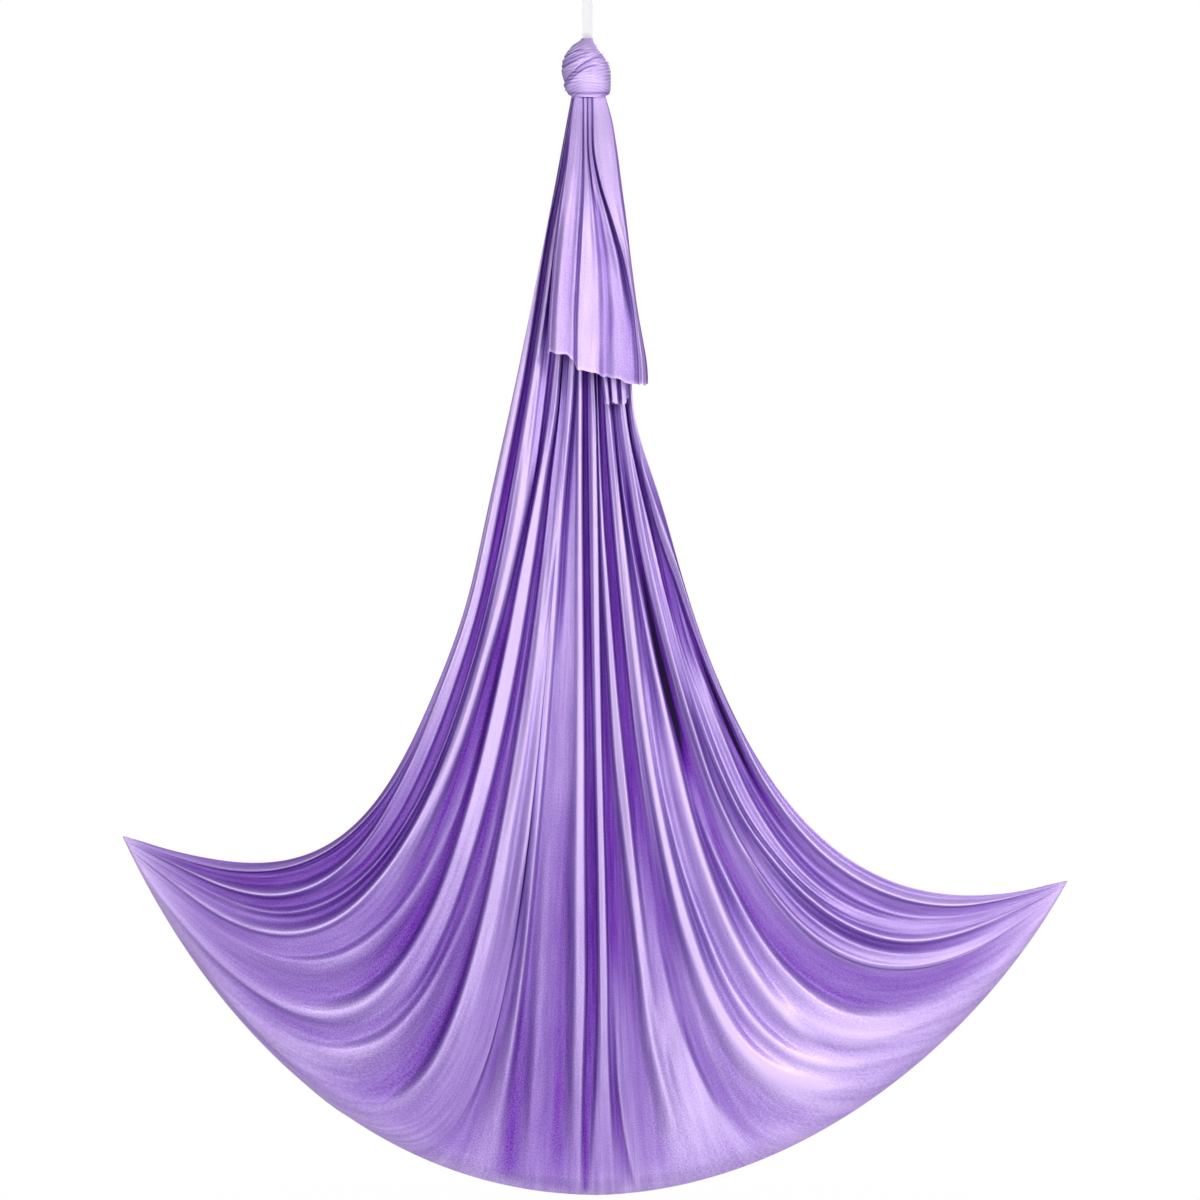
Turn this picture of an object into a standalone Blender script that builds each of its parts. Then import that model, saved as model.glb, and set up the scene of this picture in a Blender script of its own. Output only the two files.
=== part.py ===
# Aerial yoga hammock: one long cloth, folded in half at the seat, whose two gathered ends are
# tied in a single knot around a steel D ring. A flat webbing strap carries the ring, and a steel
# screw-sleeve carabiner with a flat foot carries the strap.
# Metres, +Z up. The width of the cloth runs along X and the viewer stands at -Y. The origin is
# the inner top of the carabiner's bow, where the whole hammock hangs.
import math

import bmesh
import bpy
import numpy as np
from mathutils import Matrix, Vector

# Clearances
SEAT_GAP = 0.0003            # between pieces that touch
RUNNING_GAP = 0.0003         # around a pin or a sleeve
TOE_GAP = 0.0008             # above the gate, so that its corner clears the nose as it swings

# Carabiner
BAR_DIAMETER = 0.011
BOW_INNER_RADIUS = 0.018
FOOT_CORNER_RADIUS = 0.013   # bar's centreline at the two corners of the flat foot
CARABINER_LENGTH = 0.108
GATE_SIDE = 0.050            # opening in the frame that the nose, the gate and the tang fill
NOSE_LENGTH = 0.004          # bar below the upper bow, on the gate's side
GATE_TOE_CHAMFER = 0.0007
TONGUE_LENGTH = 0.006
TONGUE_THICKNESS = 0.004
TONGUE_WIDTH = 0.007
TANG_THICKNESS = 0.004
TANG_RADIUS = 0.0052
TANG_BEND_GAP = 0.0004       # between the gate's round ears and the end of the bar
TANG_ROOT_HALF = 0.0048
PIN_DIAMETER = 0.0036
PIN_PROUD = 0.0003
PLUNGER_DIAMETER = 0.004
PLUNGER_LENGTH = 0.006
PIN_CHAMFER = 0.0004
SPRING_LENGTH = 0.012
SPRING_DIAMETER = 0.0038
SPRING_WIRE = 0.0006
SPRING_TURNS = 7

# Locking sleeve
SLEEVE_LENGTH = 0.022
SLEEVE_WALL = 0.0024
SLEEVE_RUN_BACK = 0.0070     # from the gate's top down to the sleeve, so that it swings clear of the tongue
GRIP_GROOVES = 20
GRIP_DEPTH = 0.0007
SLEEVE_BEVEL = 0.0012

# Strap
WEBBING_WIDTH = 0.020
WEBBING_THICKNESS = 0.0018
EYE_LENGTH = 0.026           # from the bar's axis to where the two layers meet
STRAP_LENGTH = 0.1635        # between the axes of the two bars that it joins

# D ring
RING_BAR = 0.009
RING_INNER_WIDTH = 0.024
RING_CORNER_RADIUS = 0.007   # bar's centreline at the two upper corners
RING_SIDE = 0.006            # straight run between the corners and the bow

# Knot, measured down from its crown
KNOT_HEIGHT = 0.120
KNOT_LEFT = 0.049
KNOT_RIGHT = 0.047
KNOT_DEPTH = 0.043           # half of the knot from front to back
CROWN_ABOVE_RING = 0.027     # crown above the axis of the ring's straight bar
CROWN_RADIUS = 0.009
SHOULDER_SHARE = 0.45        # share of the knot's height that is above its widest level
DOME_POWER = 2.3             # higher is a fuller dome
WAIST_POWER = 3.2            # higher draws in later toward the lip
LIP_SHARE = 0.72             # half width of the lip as a share of the widest wrap
LIP_HEIGHT = 0.008
WRAP_SLOPE = 0.62            # rise over run of the diagonal wrap
LOWER_WRAP_SLOPE = 0.42
LOWER_WRAP_SHARE = 0.533     # share of the knot's height above this wrap, on the axis
DIAGONAL_WRAP_SHARE = 0.367
CREASE = 0.10                # how far a wrap draws in at its edges
STRAP_SWING = 15.0           # degrees that the ring swings on the strap's eye

# Cloth
CLOTH_THICKNESS = 0.003      # gathered layers, as one skin
DROP = 2.190                 # lip of the knot to the bottom fold
LEFT_REACH = 0.929
LEFT_TIP_DROP = 1.474
RIGHT_REACH = 0.959
RIGHT_TIP_DROP = 1.563
FOLD_OFFSET = 0.021          # lowest point of the fold, to the right of the knot
NECK_LEFT = 0.033
NECK_RIGHT = 0.037
SEAT_SPREAD = 0.042          # half of the space between the panels at the seat
NECK_SPREAD = 0.0012
TIP_SPREAD = 0.006
SPREAD_DROP = 1.10           # where the panels are fully apart
TIP_RUN = 0.35               # run over which the panels close at a tip
PLEAT_DEPTH = 0.042
PLEAT_HALFWAY = 0.015        # pleat width at which a pleat has half of its depth
PLEAT_FADE_START = 0.62      # share of a fold line from which the pleats grow shallow
PLEAT_FADE_STOP = 0.97
PLEAT_FADE_END = 0.16        # depth left there

# Tails, in front of the front panel
FRONT_TAIL_LEFT_DROP = 0.508
FRONT_TAIL_RIGHT_DROP = 0.586
FRONT_TAIL_LEFT = -0.080
FRONT_TAIL_RIGHT = 0.120
REAR_TAIL_LEFT_DROP = 0.585
REAR_TAIL_RIGHT_DROP = 0.616
REAR_TAIL_LEFT = 0.005
REAR_TAIL_RIGHT = 0.090
FRONT_TAIL_PLEATS = 5
REAR_TAIL_PLEATS = 3
FRONT_TAIL_NECK = 0.80       # share of the neck's width
REAR_TAIL_NECK = 0.70
TAIL_THICKNESS = 0.0025
TAIL_PLEAT_DEPTH = 0.013
TAIL_GAP = 0.0025            # between one layer and the next
TAIL_BELLY = 0.008           # how far a tail's sides bow outward
TAIL_OPENING = 0.85          # below 1, a tail opens faster near the knot
TAIL_ROWS = 10
TAIL_COLUMNS_PER_PLEAT = 4

# Handles of the bottom fold's curves, as shares of the side's reach and of the drop
LEFT_FOLD_HANDLES = ((0.831, 0.470), (0.499, 0.999))
RIGHT_FOLD_HANDLES = ((0.832, 0.475), (0.461, 0.995))

# Places that follow from the sizes above
BAR_RADIUS = BAR_DIAMETER / 2
BOW_RADIUS = BOW_INNER_RADIUS + BAR_RADIUS
UPPER_BOW_Z = -BOW_INNER_RADIUS
STRAP_PIVOT_Z = BAR_DIAMETER + BAR_RADIUS - CARABINER_LENGTH
FOOT_Z = STRAP_PIVOT_Z + FOOT_CORNER_RADIUS
NOSE_Z = UPPER_BOW_Z - NOSE_LENGTH
TANG_Z = UPPER_BOW_Z - GATE_SIDE
PIN_Z = TANG_Z + BAR_RADIUS + TANG_BEND_GAP
GATE_TOP_Z = NOSE_Z - TOE_GAP
RING_PIVOT_Z = STRAP_PIVOT_Z - STRAP_LENGTH
RING_HALF_WIDTH = (RING_INNER_WIDTH + RING_BAR) / 2
CROWN_Z = RING_PIVOT_Z + CROWN_ABOVE_RING
LIP_Z = CROWN_Z - KNOT_HEIGHT
LOWER_WRAP_TOP = LOWER_WRAP_SHARE * KNOT_HEIGHT
DIAGONAL_WRAP_TOP = DIAGONAL_WRAP_SHARE * KNOT_HEIGHT
NECK_Z = LIP_Z - SEAT_GAP

# The fold lines of a panel, from the left selvedge to the right one. Each is a curve from the
# neck to the bottom fold: neck place from -1 to 1, two handles as (share of the side's reach,
# share of the drop), and the end's place along the bottom fold from -1, the left tip, to 1.
FOLD_LINES = (
    (-1.00, (-0.332, 0.694), (-0.456, 0.742), -1.0),
    (-0.88, (-0.296, 0.714), (-0.484, 0.787), -0.990),
    (-0.76, (-0.254, 0.787), (-0.498, 0.860), -0.970),
    (-0.58, (-0.190, 0.906), (-0.463, 0.961), -0.925),
    (-0.40, (-0.141, 0.961), (-0.318, 1.020), -0.580),
    (-0.26, (-0.108, 0.760), (-0.178, 0.988), -0.330),
    (-0.12, (-0.050, 0.367), (-0.110, 0.760), -0.130),
    (0.00, (-0.008, 0.367), (-0.008, 0.733), -0.020),
    (0.16, (0.024, 0.367), (0.038, 0.733), 0.040),
    (0.30, (0.056, 0.367), (0.082, 0.733), 0.100),
    (0.44, (0.084, 0.640), (0.196, 0.970), 0.330),
    (0.56, (0.140, 0.722), (0.302, 0.943), 0.640),
    (0.68, (0.150, 0.730), (0.438, 0.924), 0.955),
    (0.80, (0.152, 0.715), (0.462, 0.906), 0.975),
    (0.90, (0.154, 0.695), (0.500, 0.833), 0.990),
    (1.00, (0.156, 0.675), (0.555, 0.766), 1.0),
)
LINE_STEPS = 9               # rows of the cloth above the rolled bottom
ROW_CROWDING = 1.35          # rows stand closer toward the swags
ROLL_STEPS = 3
FOLD_NEARNESS = 0.0005       # nearer to the fold than this, its own normal is used
COLUMNS_PER_PLEAT = 3


# Scene and materials

def clear_scene():
    for item in list(bpy.data.objects):
        bpy.data.objects.remove(item, do_unlink=True)


def make_material(name, color, roughness, metallic=0.0):
    material = bpy.data.materials.new(name)
    material.use_nodes = True
    shader = material.node_tree.nodes["Principled BSDF"]
    shader.inputs["Base Color"].default_value = (*color, 1.0)
    shader.inputs["Roughness"].default_value = roughness
    shader.inputs["Metallic"].default_value = metallic
    material.diffuse_color = (*color, 1.0)
    return material


def add_object(name, bm, material, parent=None, location=(0.0, 0.0, 0.0), angle=35.0):
    bmesh.ops.recalc_face_normals(bm, faces=bm.faces)
    mesh = bpy.data.meshes.new(name)
    bm.to_mesh(mesh)
    bm.free()
    mesh.materials.append(material)
    mesh.shade_smooth()
    mesh.set_sharp_from_angle(angle=math.radians(angle))
    item = bpy.data.objects.new(name, mesh)
    bpy.context.scene.collection.objects.link(item)
    item.parent = parent
    item.location = location
    return item


def add_empty(name, location, parent=None):
    empty = bpy.data.objects.new(name, None)
    bpy.context.scene.collection.objects.link(empty)
    empty.parent = parent
    empty.location = location
    return empty


def cut(target, bm, name, parent=None, location=(0.0, 0.0, 0.0), operation="DIFFERENCE"):
    bmesh.ops.recalc_face_normals(bm, faces=bm.faces)
    mesh = bpy.data.meshes.new(name)
    bm.to_mesh(mesh)
    bm.free()
    cutter = bpy.data.objects.new(name, mesh)
    bpy.context.scene.collection.objects.link(cutter)
    cutter.parent = parent
    cutter.location = location
    cutter.hide_render = True
    cutter.display_type = "WIRE"
    use_cutter(target, cutter, operation)
    return cutter


def use_cutter(target, cutter, operation="DIFFERENCE"):
    modifier = target.modifiers.new(cutter.name, "BOOLEAN")
    modifier.operation = operation
    modifier.solver = "EXACT"
    modifier.object = cutter


# Shapes shared by several pieces

def loft(rings, closed=False):
    bm = bmesh.new()
    rows = [[bm.verts.new(point) for point in ring] for ring in rings]
    sides = len(rows[0])
    pairs = list(zip(rows, rows[1:]))
    if closed:
        pairs.append((rows[-1], rows[0]))
    for lower, upper in pairs:
        for i in range(sides):
            j = (i + 1) % sides
            bm.faces.new((lower[i], lower[j], upper[j], upper[i]))
    if not closed:
        bm.faces.new(rows[0])
        bm.faces.new(rows[-1])
    return bm


def cylinder(radius, low, high, sides=20, axis="Z", chamfer=0.0):
    levels = [(low, radius - chamfer), (low + chamfer, radius),
              (high - chamfer, radius), (high, radius - chamfer)]
    if chamfer == 0.0:
        levels = [(low, radius), (high, radius)]
    rings = []
    for level, size in levels:
        ring = []
        for i in range(sides):
            turn = 2 * math.pi * (i + 0.5) / sides
            across, along = size * math.cos(turn), size * math.sin(turn)
            ring.append((across, along, level) if axis == "Z" else (across, level, along))
        rings.append(ring)
    return loft(rings)


def box(low, high):
    bm = bmesh.new()
    bmesh.ops.create_cube(bm, size=1.0)
    size = Vector(high) - Vector(low)
    centre = (Vector(high) + Vector(low)) / 2
    bmesh.ops.transform(bm, matrix=Matrix.Translation(centre) @ Matrix.Diagonal((*size, 1.0)), verts=bm.verts)
    return bm


def arc(centre_x, centre_z, radius, start, stop, steps):
    # Points of an arc in the XZ plane, each with the angle of its outward normal
    points = []
    for i in range(steps + 1):
        turn = math.radians(start + (stop - start) * i / steps)
        points.append((centre_x + radius * math.cos(turn), centre_z + radius * math.sin(turn), turn))
    return points


def bar_along(path, radius, sides, closed=False):
    rings = []
    for x, z, turn in path:
        ring = []
        for i in range(sides):
            roll = 2 * math.pi * i / sides
            out = radius * math.cos(roll)
            ring.append((x + out * math.cos(turn), radius * math.sin(roll), z + out * math.sin(turn)))
        rings.append(ring)
    return loft(rings, closed)


def skin(outer, inner):
    # A thin closed body between two grids of points with the same rows and columns
    bm = bmesh.new()
    faces = [[[bm.verts.new(point) for point in row] for row in grid] for grid in (outer, inner)]
    rows, columns = len(outer), len(outer[0])
    for grid in faces:
        for r in range(rows - 1):
            for c in range(columns - 1):
                bm.faces.new((grid[r][c], grid[r][c + 1], grid[r + 1][c + 1], grid[r + 1][c]))
    front, back = faces
    for r in range(rows - 1):
        for c in (0, columns - 1):
            bm.faces.new((front[r][c], front[r + 1][c], back[r + 1][c], back[r][c]))
    for c in range(columns - 1):
        for r in (0, rows - 1):
            bm.faces.new((front[r][c], front[r][c + 1], back[r][c + 1], back[r][c]))
    return bm


# Carabiner

def make_carabiner_frame(material):
    # From the nose over the upper bow, down the spine and along the foot to the tang
    foot_half = BOW_RADIUS - FOOT_CORNER_RADIUS
    path = [(BOW_RADIUS, NOSE_Z, 0.0)]
    path += arc(0.0, UPPER_BOW_Z, BOW_RADIUS, 0, 180, 18)
    path += arc(-foot_half, FOOT_Z, FOOT_CORNER_RADIUS, 180, 270, 8)
    path += arc(foot_half, FOOT_Z, FOOT_CORNER_RADIUS, 270, 360, 8)
    path.append((BOW_RADIUS, TANG_Z, 2 * math.pi))
    frame = add_object("carabiner_frame", bar_along(path, BAR_RADIUS, 16), material)

    half = TONGUE_THICKNESS / 2
    tongue = box((BOW_RADIUS - TONGUE_WIDTH / 2, -half, NOSE_Z - TONGUE_LENGTH),
                 (BOW_RADIUS + TONGUE_WIDTH / 2, half, NOSE_Z + NOSE_LENGTH / 2))
    tip_edges = []
    for edge in tongue.edges:
        a, b = edge.verts[0].co, edge.verts[1].co
        if max(a.z, b.z) < NOSE_Z and a.y != b.y:
            tip_edges.append(edge)
    bmesh.ops.bevel(tongue, geom=tip_edges, offset=TONGUE_WIDTH / 5, segments=2, affect="EDGES")
    cut(frame, tongue, "nose_tongue", operation="UNION")

    blade = cylinder(TANG_RADIUS, -TANG_THICKNESS / 2, TANG_THICKNESS / 2, sides=24, axis="Y")
    bmesh.ops.translate(blade, vec=(BOW_RADIUS, 0.0, PIN_Z), verts=blade.verts)
    cut(frame, blade, "tang_round", operation="UNION")
    root = box((BOW_RADIUS - TANG_ROOT_HALF, -TANG_THICKNESS / 2, TANG_Z - BAR_RADIUS / 2),
               (BOW_RADIUS + TANG_ROOT_HALF, TANG_THICKNESS / 2, PIN_Z))
    cut(frame, root, "tang_root", operation="UNION")
    bore = cylinder(PIN_DIAMETER / 2 + RUNNING_GAP, -BAR_DIAMETER, BAR_DIAMETER, axis="Y")
    bmesh.ops.translate(bore, vec=(BOW_RADIUS, 0.0, PIN_Z), verts=bore.verts)
    cut(frame, bore, "tang_bore")
    return frame


def make_gate(material, hinge):
    # Sizes below are from the hinge pin's axis
    top = GATE_TOP_Z - PIN_Z
    body = cylinder(BAR_RADIUS, -BAR_RADIUS, top, sides=24)
    gate = add_object("carabiner_gate", body, material, parent=hinge)
    half = BAR_RADIUS + GATE_TOE_CHAMFER / 2
    outline = [(x, z) for x, z, _ in arc(0.0, 0.0, BAR_RADIUS, 180, 360, 14)]
    outline += [(half, top - GATE_TOE_CHAMFER), (half - 2 * GATE_TOE_CHAMFER, top)]
    outline += [(2 * GATE_TOE_CHAMFER - half, top), (-half, top - GATE_TOE_CHAMFER)]
    rounding = loft([[(x, y, z) for x, z in outline] for y in (-BAR_DIAMETER, BAR_DIAMETER)])
    cut(gate, rounding, "gate_ears", parent=hinge, operation="INTERSECT")
    slot_half = TANG_THICKNESS / 2 + SEAT_GAP
    slot_top = TANG_RADIUS + SEAT_GAP
    cut(gate, box((-BAR_DIAMETER, -slot_half, -2 * TANG_RADIUS), (BAR_DIAMETER, slot_half, slot_top)),
        "clevis_slot", parent=hinge)
    tongue_half = TONGUE_THICKNESS / 2 + SEAT_GAP
    latch = box((-BAR_DIAMETER, -tongue_half, top - TONGUE_LENGTH),
                (BAR_DIAMETER, tongue_half, top + BAR_DIAMETER))
    cut(gate, latch, "latch_slot", parent=hinge)
    cut(gate, cylinder(PIN_DIAMETER / 2 + RUNNING_GAP, -BAR_DIAMETER, BAR_DIAMETER, axis="Y"),
        "gate_pin_bore", parent=hinge)
    cut(gate, cylinder(PLUNGER_DIAMETER / 2 + RUNNING_GAP, slot_top - TANG_RADIUS / 2,
                       slot_top + PLUNGER_LENGTH + SPRING_LENGTH + 2 * SEAT_GAP, sides=16),
        "spring_bore", parent=hinge)
    return gate


def make_gate_parts(steel, plunger_steel, spring_steel, hinge):
    half = BAR_RADIUS + PIN_PROUD
    pin = cylinder(PIN_DIAMETER / 2, -half, half, axis="Y", chamfer=PIN_CHAMFER)
    add_object("gate_pin", pin, steel, parent=hinge)
    plunger_low = TANG_RADIUS + SEAT_GAP
    plunger_high = plunger_low + PLUNGER_LENGTH
    plunger = cylinder(PLUNGER_DIAMETER / 2, plunger_low, plunger_high, sides=16, chamfer=PIN_CHAMFER)
    add_object("gate_plunger", plunger, plunger_steel, parent=hinge)

    per_turn = 9
    radius = (SPRING_DIAMETER - SPRING_WIRE) / 2
    low = plunger_high + SEAT_GAP + SPRING_WIRE / 2
    rise = SPRING_LENGTH - SEAT_GAP - SPRING_WIRE
    coil = bpy.data.curves.new("gate_spring", "CURVE")
    coil.dimensions = "3D"
    coil.bevel_depth = SPRING_WIRE / 2
    coil.bevel_resolution = 1
    coil.use_fill_caps = True
    line = coil.splines.new("POLY")
    count = SPRING_TURNS * per_turn + 1
    line.points.add(count - 1)
    for i, point in enumerate(line.points):
        turn = 2 * math.pi * i / per_turn
        point.co = (radius * math.cos(turn), radius * math.sin(turn), low + rise * i / (count - 1), 1.0)
    coil.materials.append(spring_steel)
    spring = bpy.data.objects.new("gate_spring", coil)
    bpy.context.scene.collection.objects.link(spring)
    spring.parent = hinge
    print("gate spring, least gap between turns, mm:", round(1000 * (rise / SPRING_TURNS - SPRING_WIRE), 2))


def make_sleeve(material, hinge):
    inner = BAR_RADIUS + RUNNING_GAP
    outer = inner + SLEEVE_WALL
    top = GATE_TOP_Z - PIN_Z - SLEEVE_RUN_BACK
    low = top - SLEEVE_LENGTH
    ends = SLEEVE_BEVEL
    levels = ((low, outer - ends / 2), (low + ends, outer), (low + 2 * ends, outer),
              (top - 2 * ends, outer), (top - ends, outer), (top, outer - ends / 2))
    around = GRIP_GROOVES * 4
    rings = []
    for index, (level, size) in enumerate(levels):
        ring = []
        for i in range(around):
            turn = 2 * math.pi * i / around
            groove = GRIP_DEPTH if i % 4 in (0, 1) and index in (2, 3) else 0.0
            ring.append(((size - groove) * math.cos(turn), (size - groove) * math.sin(turn), level))
        rings.append(ring)
    for level in (top, low):
        ring = []
        for i in range(around):
            turn = 2 * math.pi * i / around
            ring.append((inner * math.cos(turn), inner * math.sin(turn), level))
        rings.append(ring)
    return add_object("locking_sleeve", loft(rings, closed=True), material, parent=hinge, angle=30.0)


# Strap

def strap_rings():
    # Outlines in the YZ plane: the outside of the strap and the two eyes. z is from the upper bar.
    arc_steps = 10
    upper_eye, lower_eye, outside = [], [], []
    ends = ((BAR_RADIUS, 0.0, 1, upper_eye), (RING_BAR / 2, -STRAP_LENGTH, -1, lower_eye))
    for bar_radius, centre, side, eye in ends:
        inner = bar_radius + SEAT_GAP
        outer = inner + WEBBING_THICKNESS
        for i in range(arc_steps + 1):
            turn = math.pi * i / arc_steps
            eye.append((inner * math.cos(turn), centre + side * inner * math.sin(turn)))
        eye.append((0.0, centre - side * (EYE_LENGTH - 2 * WEBBING_THICKNESS)))
        neck = centre - side * EYE_LENGTH
        outside.append((side * WEBBING_THICKNESS, neck))
        for i in range(arc_steps + 1):
            turn = math.pi * i / arc_steps
            outside.append((side * outer * math.cos(turn), centre + side * outer * math.sin(turn)))
        outside.append((-side * WEBBING_THICKNESS, neck))
    return outside, upper_eye, lower_eye


def make_strap(material, pivot):
    bm = bmesh.new()
    half = WEBBING_WIDTH / 2
    caps = {-half: [], half: []}
    for outline in strap_rings():
        left, right = [[bm.verts.new((x, y, z)) for y, z in outline] for x in caps]
        for i in range(len(outline)):
            j = (i + 1) % len(outline)
            bm.faces.new((left[i], left[j], right[j], right[i]))
            caps[-half].append(bm.edges.get((left[i], left[j])))
            caps[half].append(bm.edges.get((right[i], right[j])))
    for edges in caps.values():
        bmesh.ops.triangle_fill(bm, edges=edges, use_beauty=True)
    return add_object("strap_webbing", bm, material, parent=pivot)


# D ring, from the axis of its straight bar

def ring_bar(radius):
    level = -RING_CORNER_RADIUS
    corner = RING_HALF_WIDTH - RING_CORNER_RADIUS
    path = arc(corner, level, RING_CORNER_RADIUS, 0, 90, 5)
    path += arc(-corner, level, RING_CORNER_RADIUS, 90, 180, 5)
    path += arc(0.0, level - RING_SIDE, RING_HALF_WIDTH, 180, 360, 14)
    return bar_along(path, radius, 12, closed=True)


# Knot

def knot_radius(turn, z):
    # Distance from the knot's axis to its skin, at a height z below the crown given as a negative
    down = min(1.0, max(0.0, -z / KNOT_HEIGHT))
    if down < SHOULDER_SHARE:
        rise = 1.0 - down / SHOULDER_SHARE
        width = max(math.sqrt(1.0 - rise ** DOME_POWER), CROWN_RADIUS / KNOT_LEFT)
    else:
        fall = (down - SHOULDER_SHARE) / (1.0 - SHOULDER_SHARE)
        width = 1.0 - (1.0 - LIP_SHARE) * fall ** WAIST_POWER
    side = KNOT_RIGHT if math.cos(turn) > 0 else KNOT_LEFT
    across = math.cos(turn) / side
    along = math.sin(turn) / KNOT_DEPTH
    return width / math.sqrt(across * across + along * along)


def make_wrap(name, low, high, low_slope, high_slope, material, hang, rows=6):
    # One turn of cloth between two tilted planes; it bulges between them and draws in at its edges
    around = 30
    rings = []
    for r in range(rows + 1):
        share = r / rows
        level = low + (high - low) * share
        slope = low_slope + (high_slope - low_slope) * share
        pinch = 1.0 - CREASE * abs(2 * share - 1) ** 4
        ring = []
        for i in range(around):
            turn = 2 * math.pi * i / around
            reach, z = 0.0, level
            for _ in range(12):
                reach = 0.5 * reach + 0.5 * knot_radius(turn, z) * pinch
                z = level + slope * reach * math.cos(turn)
            ring.append((reach * math.cos(turn), reach * math.sin(turn), z))
        rings.append(ring)
    return add_object(name, loft(rings), material, parent=hang, location=(0.0, 0.0, CROWN_Z - RING_PIVOT_Z))


def make_knot(lip_cloth, lower_cloth, diagonal_cloth, crown_cloth, hang):
    make_wrap("knot_lip", -KNOT_HEIGHT, LIP_HEIGHT - KNOT_HEIGHT, 0.0, 0.0, lip_cloth, hang, rows=3)
    lower = make_wrap("knot_lower_wrap", LIP_HEIGHT - KNOT_HEIGHT + SEAT_GAP, -LOWER_WRAP_TOP,
                      0.0, LOWER_WRAP_SLOPE, lower_cloth, hang)
    lower_gap = SEAT_GAP * math.sqrt(1 + LOWER_WRAP_SLOPE ** 2)
    diagonal = make_wrap("knot_diagonal_wrap", lower_gap - LOWER_WRAP_TOP, -DIAGONAL_WRAP_TOP,
                         LOWER_WRAP_SLOPE, WRAP_SLOPE, diagonal_cloth, hang)
    upper_gap = SEAT_GAP * math.sqrt(1 + WRAP_SLOPE ** 2)
    crown = make_wrap("knot_crown", upper_gap - DIAGONAL_WRAP_TOP, 0.0,
                      WRAP_SLOPE, 0.0, crown_cloth, hang, rows=8)

    ring_cut = cut(crown, ring_bar(RING_BAR / 2 + SEAT_GAP), "ring_channel", parent=hang)
    use_cutter(diagonal, ring_cut)
    use_cutter(lower, ring_cut)

    swing = math.radians(STRAP_SWING)
    eye_half = RING_BAR / 2 + SEAT_GAP + WEBBING_THICKNESS
    mouth_half = WEBBING_THICKNESS / math.cos(swing) + CROWN_ABOVE_RING * math.sin(swing)
    half_depth = max(eye_half, mouth_half) + RUNNING_GAP
    half_width = WEBBING_WIDTH / 2 + 2 * RUNNING_GAP
    low = -eye_half - RUNNING_GAP
    pocket = cut(crown, box((-half_width, -half_depth, low), (half_width, half_depth, 2 * CROWN_ABOVE_RING)),
                 "strap_pocket", parent=hang)
    use_cutter(diagonal, pocket)
    use_cutter(lower, pocket)


# Cloth

def ease(share):
    share = np.clip(share, 0.0, 1.0)
    return share * share * (3 - 2 * share)


def bezier(a, b, c, d, t):
    t = np.asarray(t)[..., None]
    return (1 - t) ** 3 * a + 3 * (1 - t) ** 2 * t * b + 3 * (1 - t) * t * t * c + t ** 3 * d


def fold_point(place):
    # A point of the bottom fold as (x, drop from the neck), for a place from -1 to 1
    place = np.asarray(place, float)
    lowest = np.array((FOLD_OFFSET, DROP))
    halves = []
    sides = ((-LEFT_REACH, LEFT_TIP_DROP, LEFT_FOLD_HANDLES, 1 + place),
             (RIGHT_REACH, RIGHT_TIP_DROP, RIGHT_FOLD_HANDLES, 1 - place))
    for reach, tip_drop, ((near_tip, below_tip), (near_low, low_drop)), along in sides:
        tip = np.array((reach, tip_drop))
        first = np.array((near_tip * reach, tip_drop + below_tip * (DROP - tip_drop)))
        second = np.array((near_low * reach, low_drop * DROP))
        halves.append(bezier(tip, first, second, lowest, np.clip(along, 0, 1)))
    left, right = halves
    return np.where(place[..., None] < 0, left, right)


def line_controls(index):
    # The four control values of the fold line at a fractional index, smooth from line to line
    rows = np.array([(neck, *first, *second, end) for neck, first, second, end in FOLD_LINES])
    last = len(rows) - 1
    base = int(min(max(math.floor(index), 0), last - 1))
    t = index - base
    before, start, stop, after = (rows[min(max(base + k, 0), last)] for k in (-1, 0, 1, 2))
    tangent_in, tangent_out = (stop - before) / 2, (after - start) / 2
    smooth = ((2 * t ** 3 - 3 * t * t + 1) * start + (t ** 3 - 2 * t * t + t) * tangent_in
              + (3 * t * t - 2 * t ** 3) * stop + (t ** 3 - t * t) * tangent_out)
    smooth[-1] = min(1.0, max(-1.0, smooth[-1]))
    return smooth


def fold_line(index, samples=160):
    # Points (x, drop) along one fold line, with their distance along it
    neck, x1, drop1, x2, drop2, end = line_controls(index)
    start = np.array((neck * (NECK_LEFT if neck < 0 else NECK_RIGHT), 0.0))
    handles = []
    for x, drop in ((x1, drop1), (x2, drop2)):
        handles.append(np.array((x * (LEFT_REACH if x < 0 else RIGHT_REACH), drop * DROP)))
    points = bezier(start, *handles, fold_point(end), np.linspace(0, 1, samples))
    along = np.concatenate(([0.0], np.cumsum(np.linalg.norm(np.diff(points, axis=0), axis=1))))
    return points, along


def line_shares(length):
    # Places along a line of this length: even rows, then closer ones round the rolled bottom
    roll = min(SEAT_SPREAD, length / 3)
    even = (1.0 - (1.0 - np.linspace(0.0, 1.0, LINE_STEPS + 1)) ** ROW_CROWDING) * (length - roll) / length
    turn = np.linspace(0.0, math.pi / 2, ROLL_STEPS + 1)[1:]
    return np.concatenate((even, 1.0 - roll * (1.0 - np.sin(turn)) / length))


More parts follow.
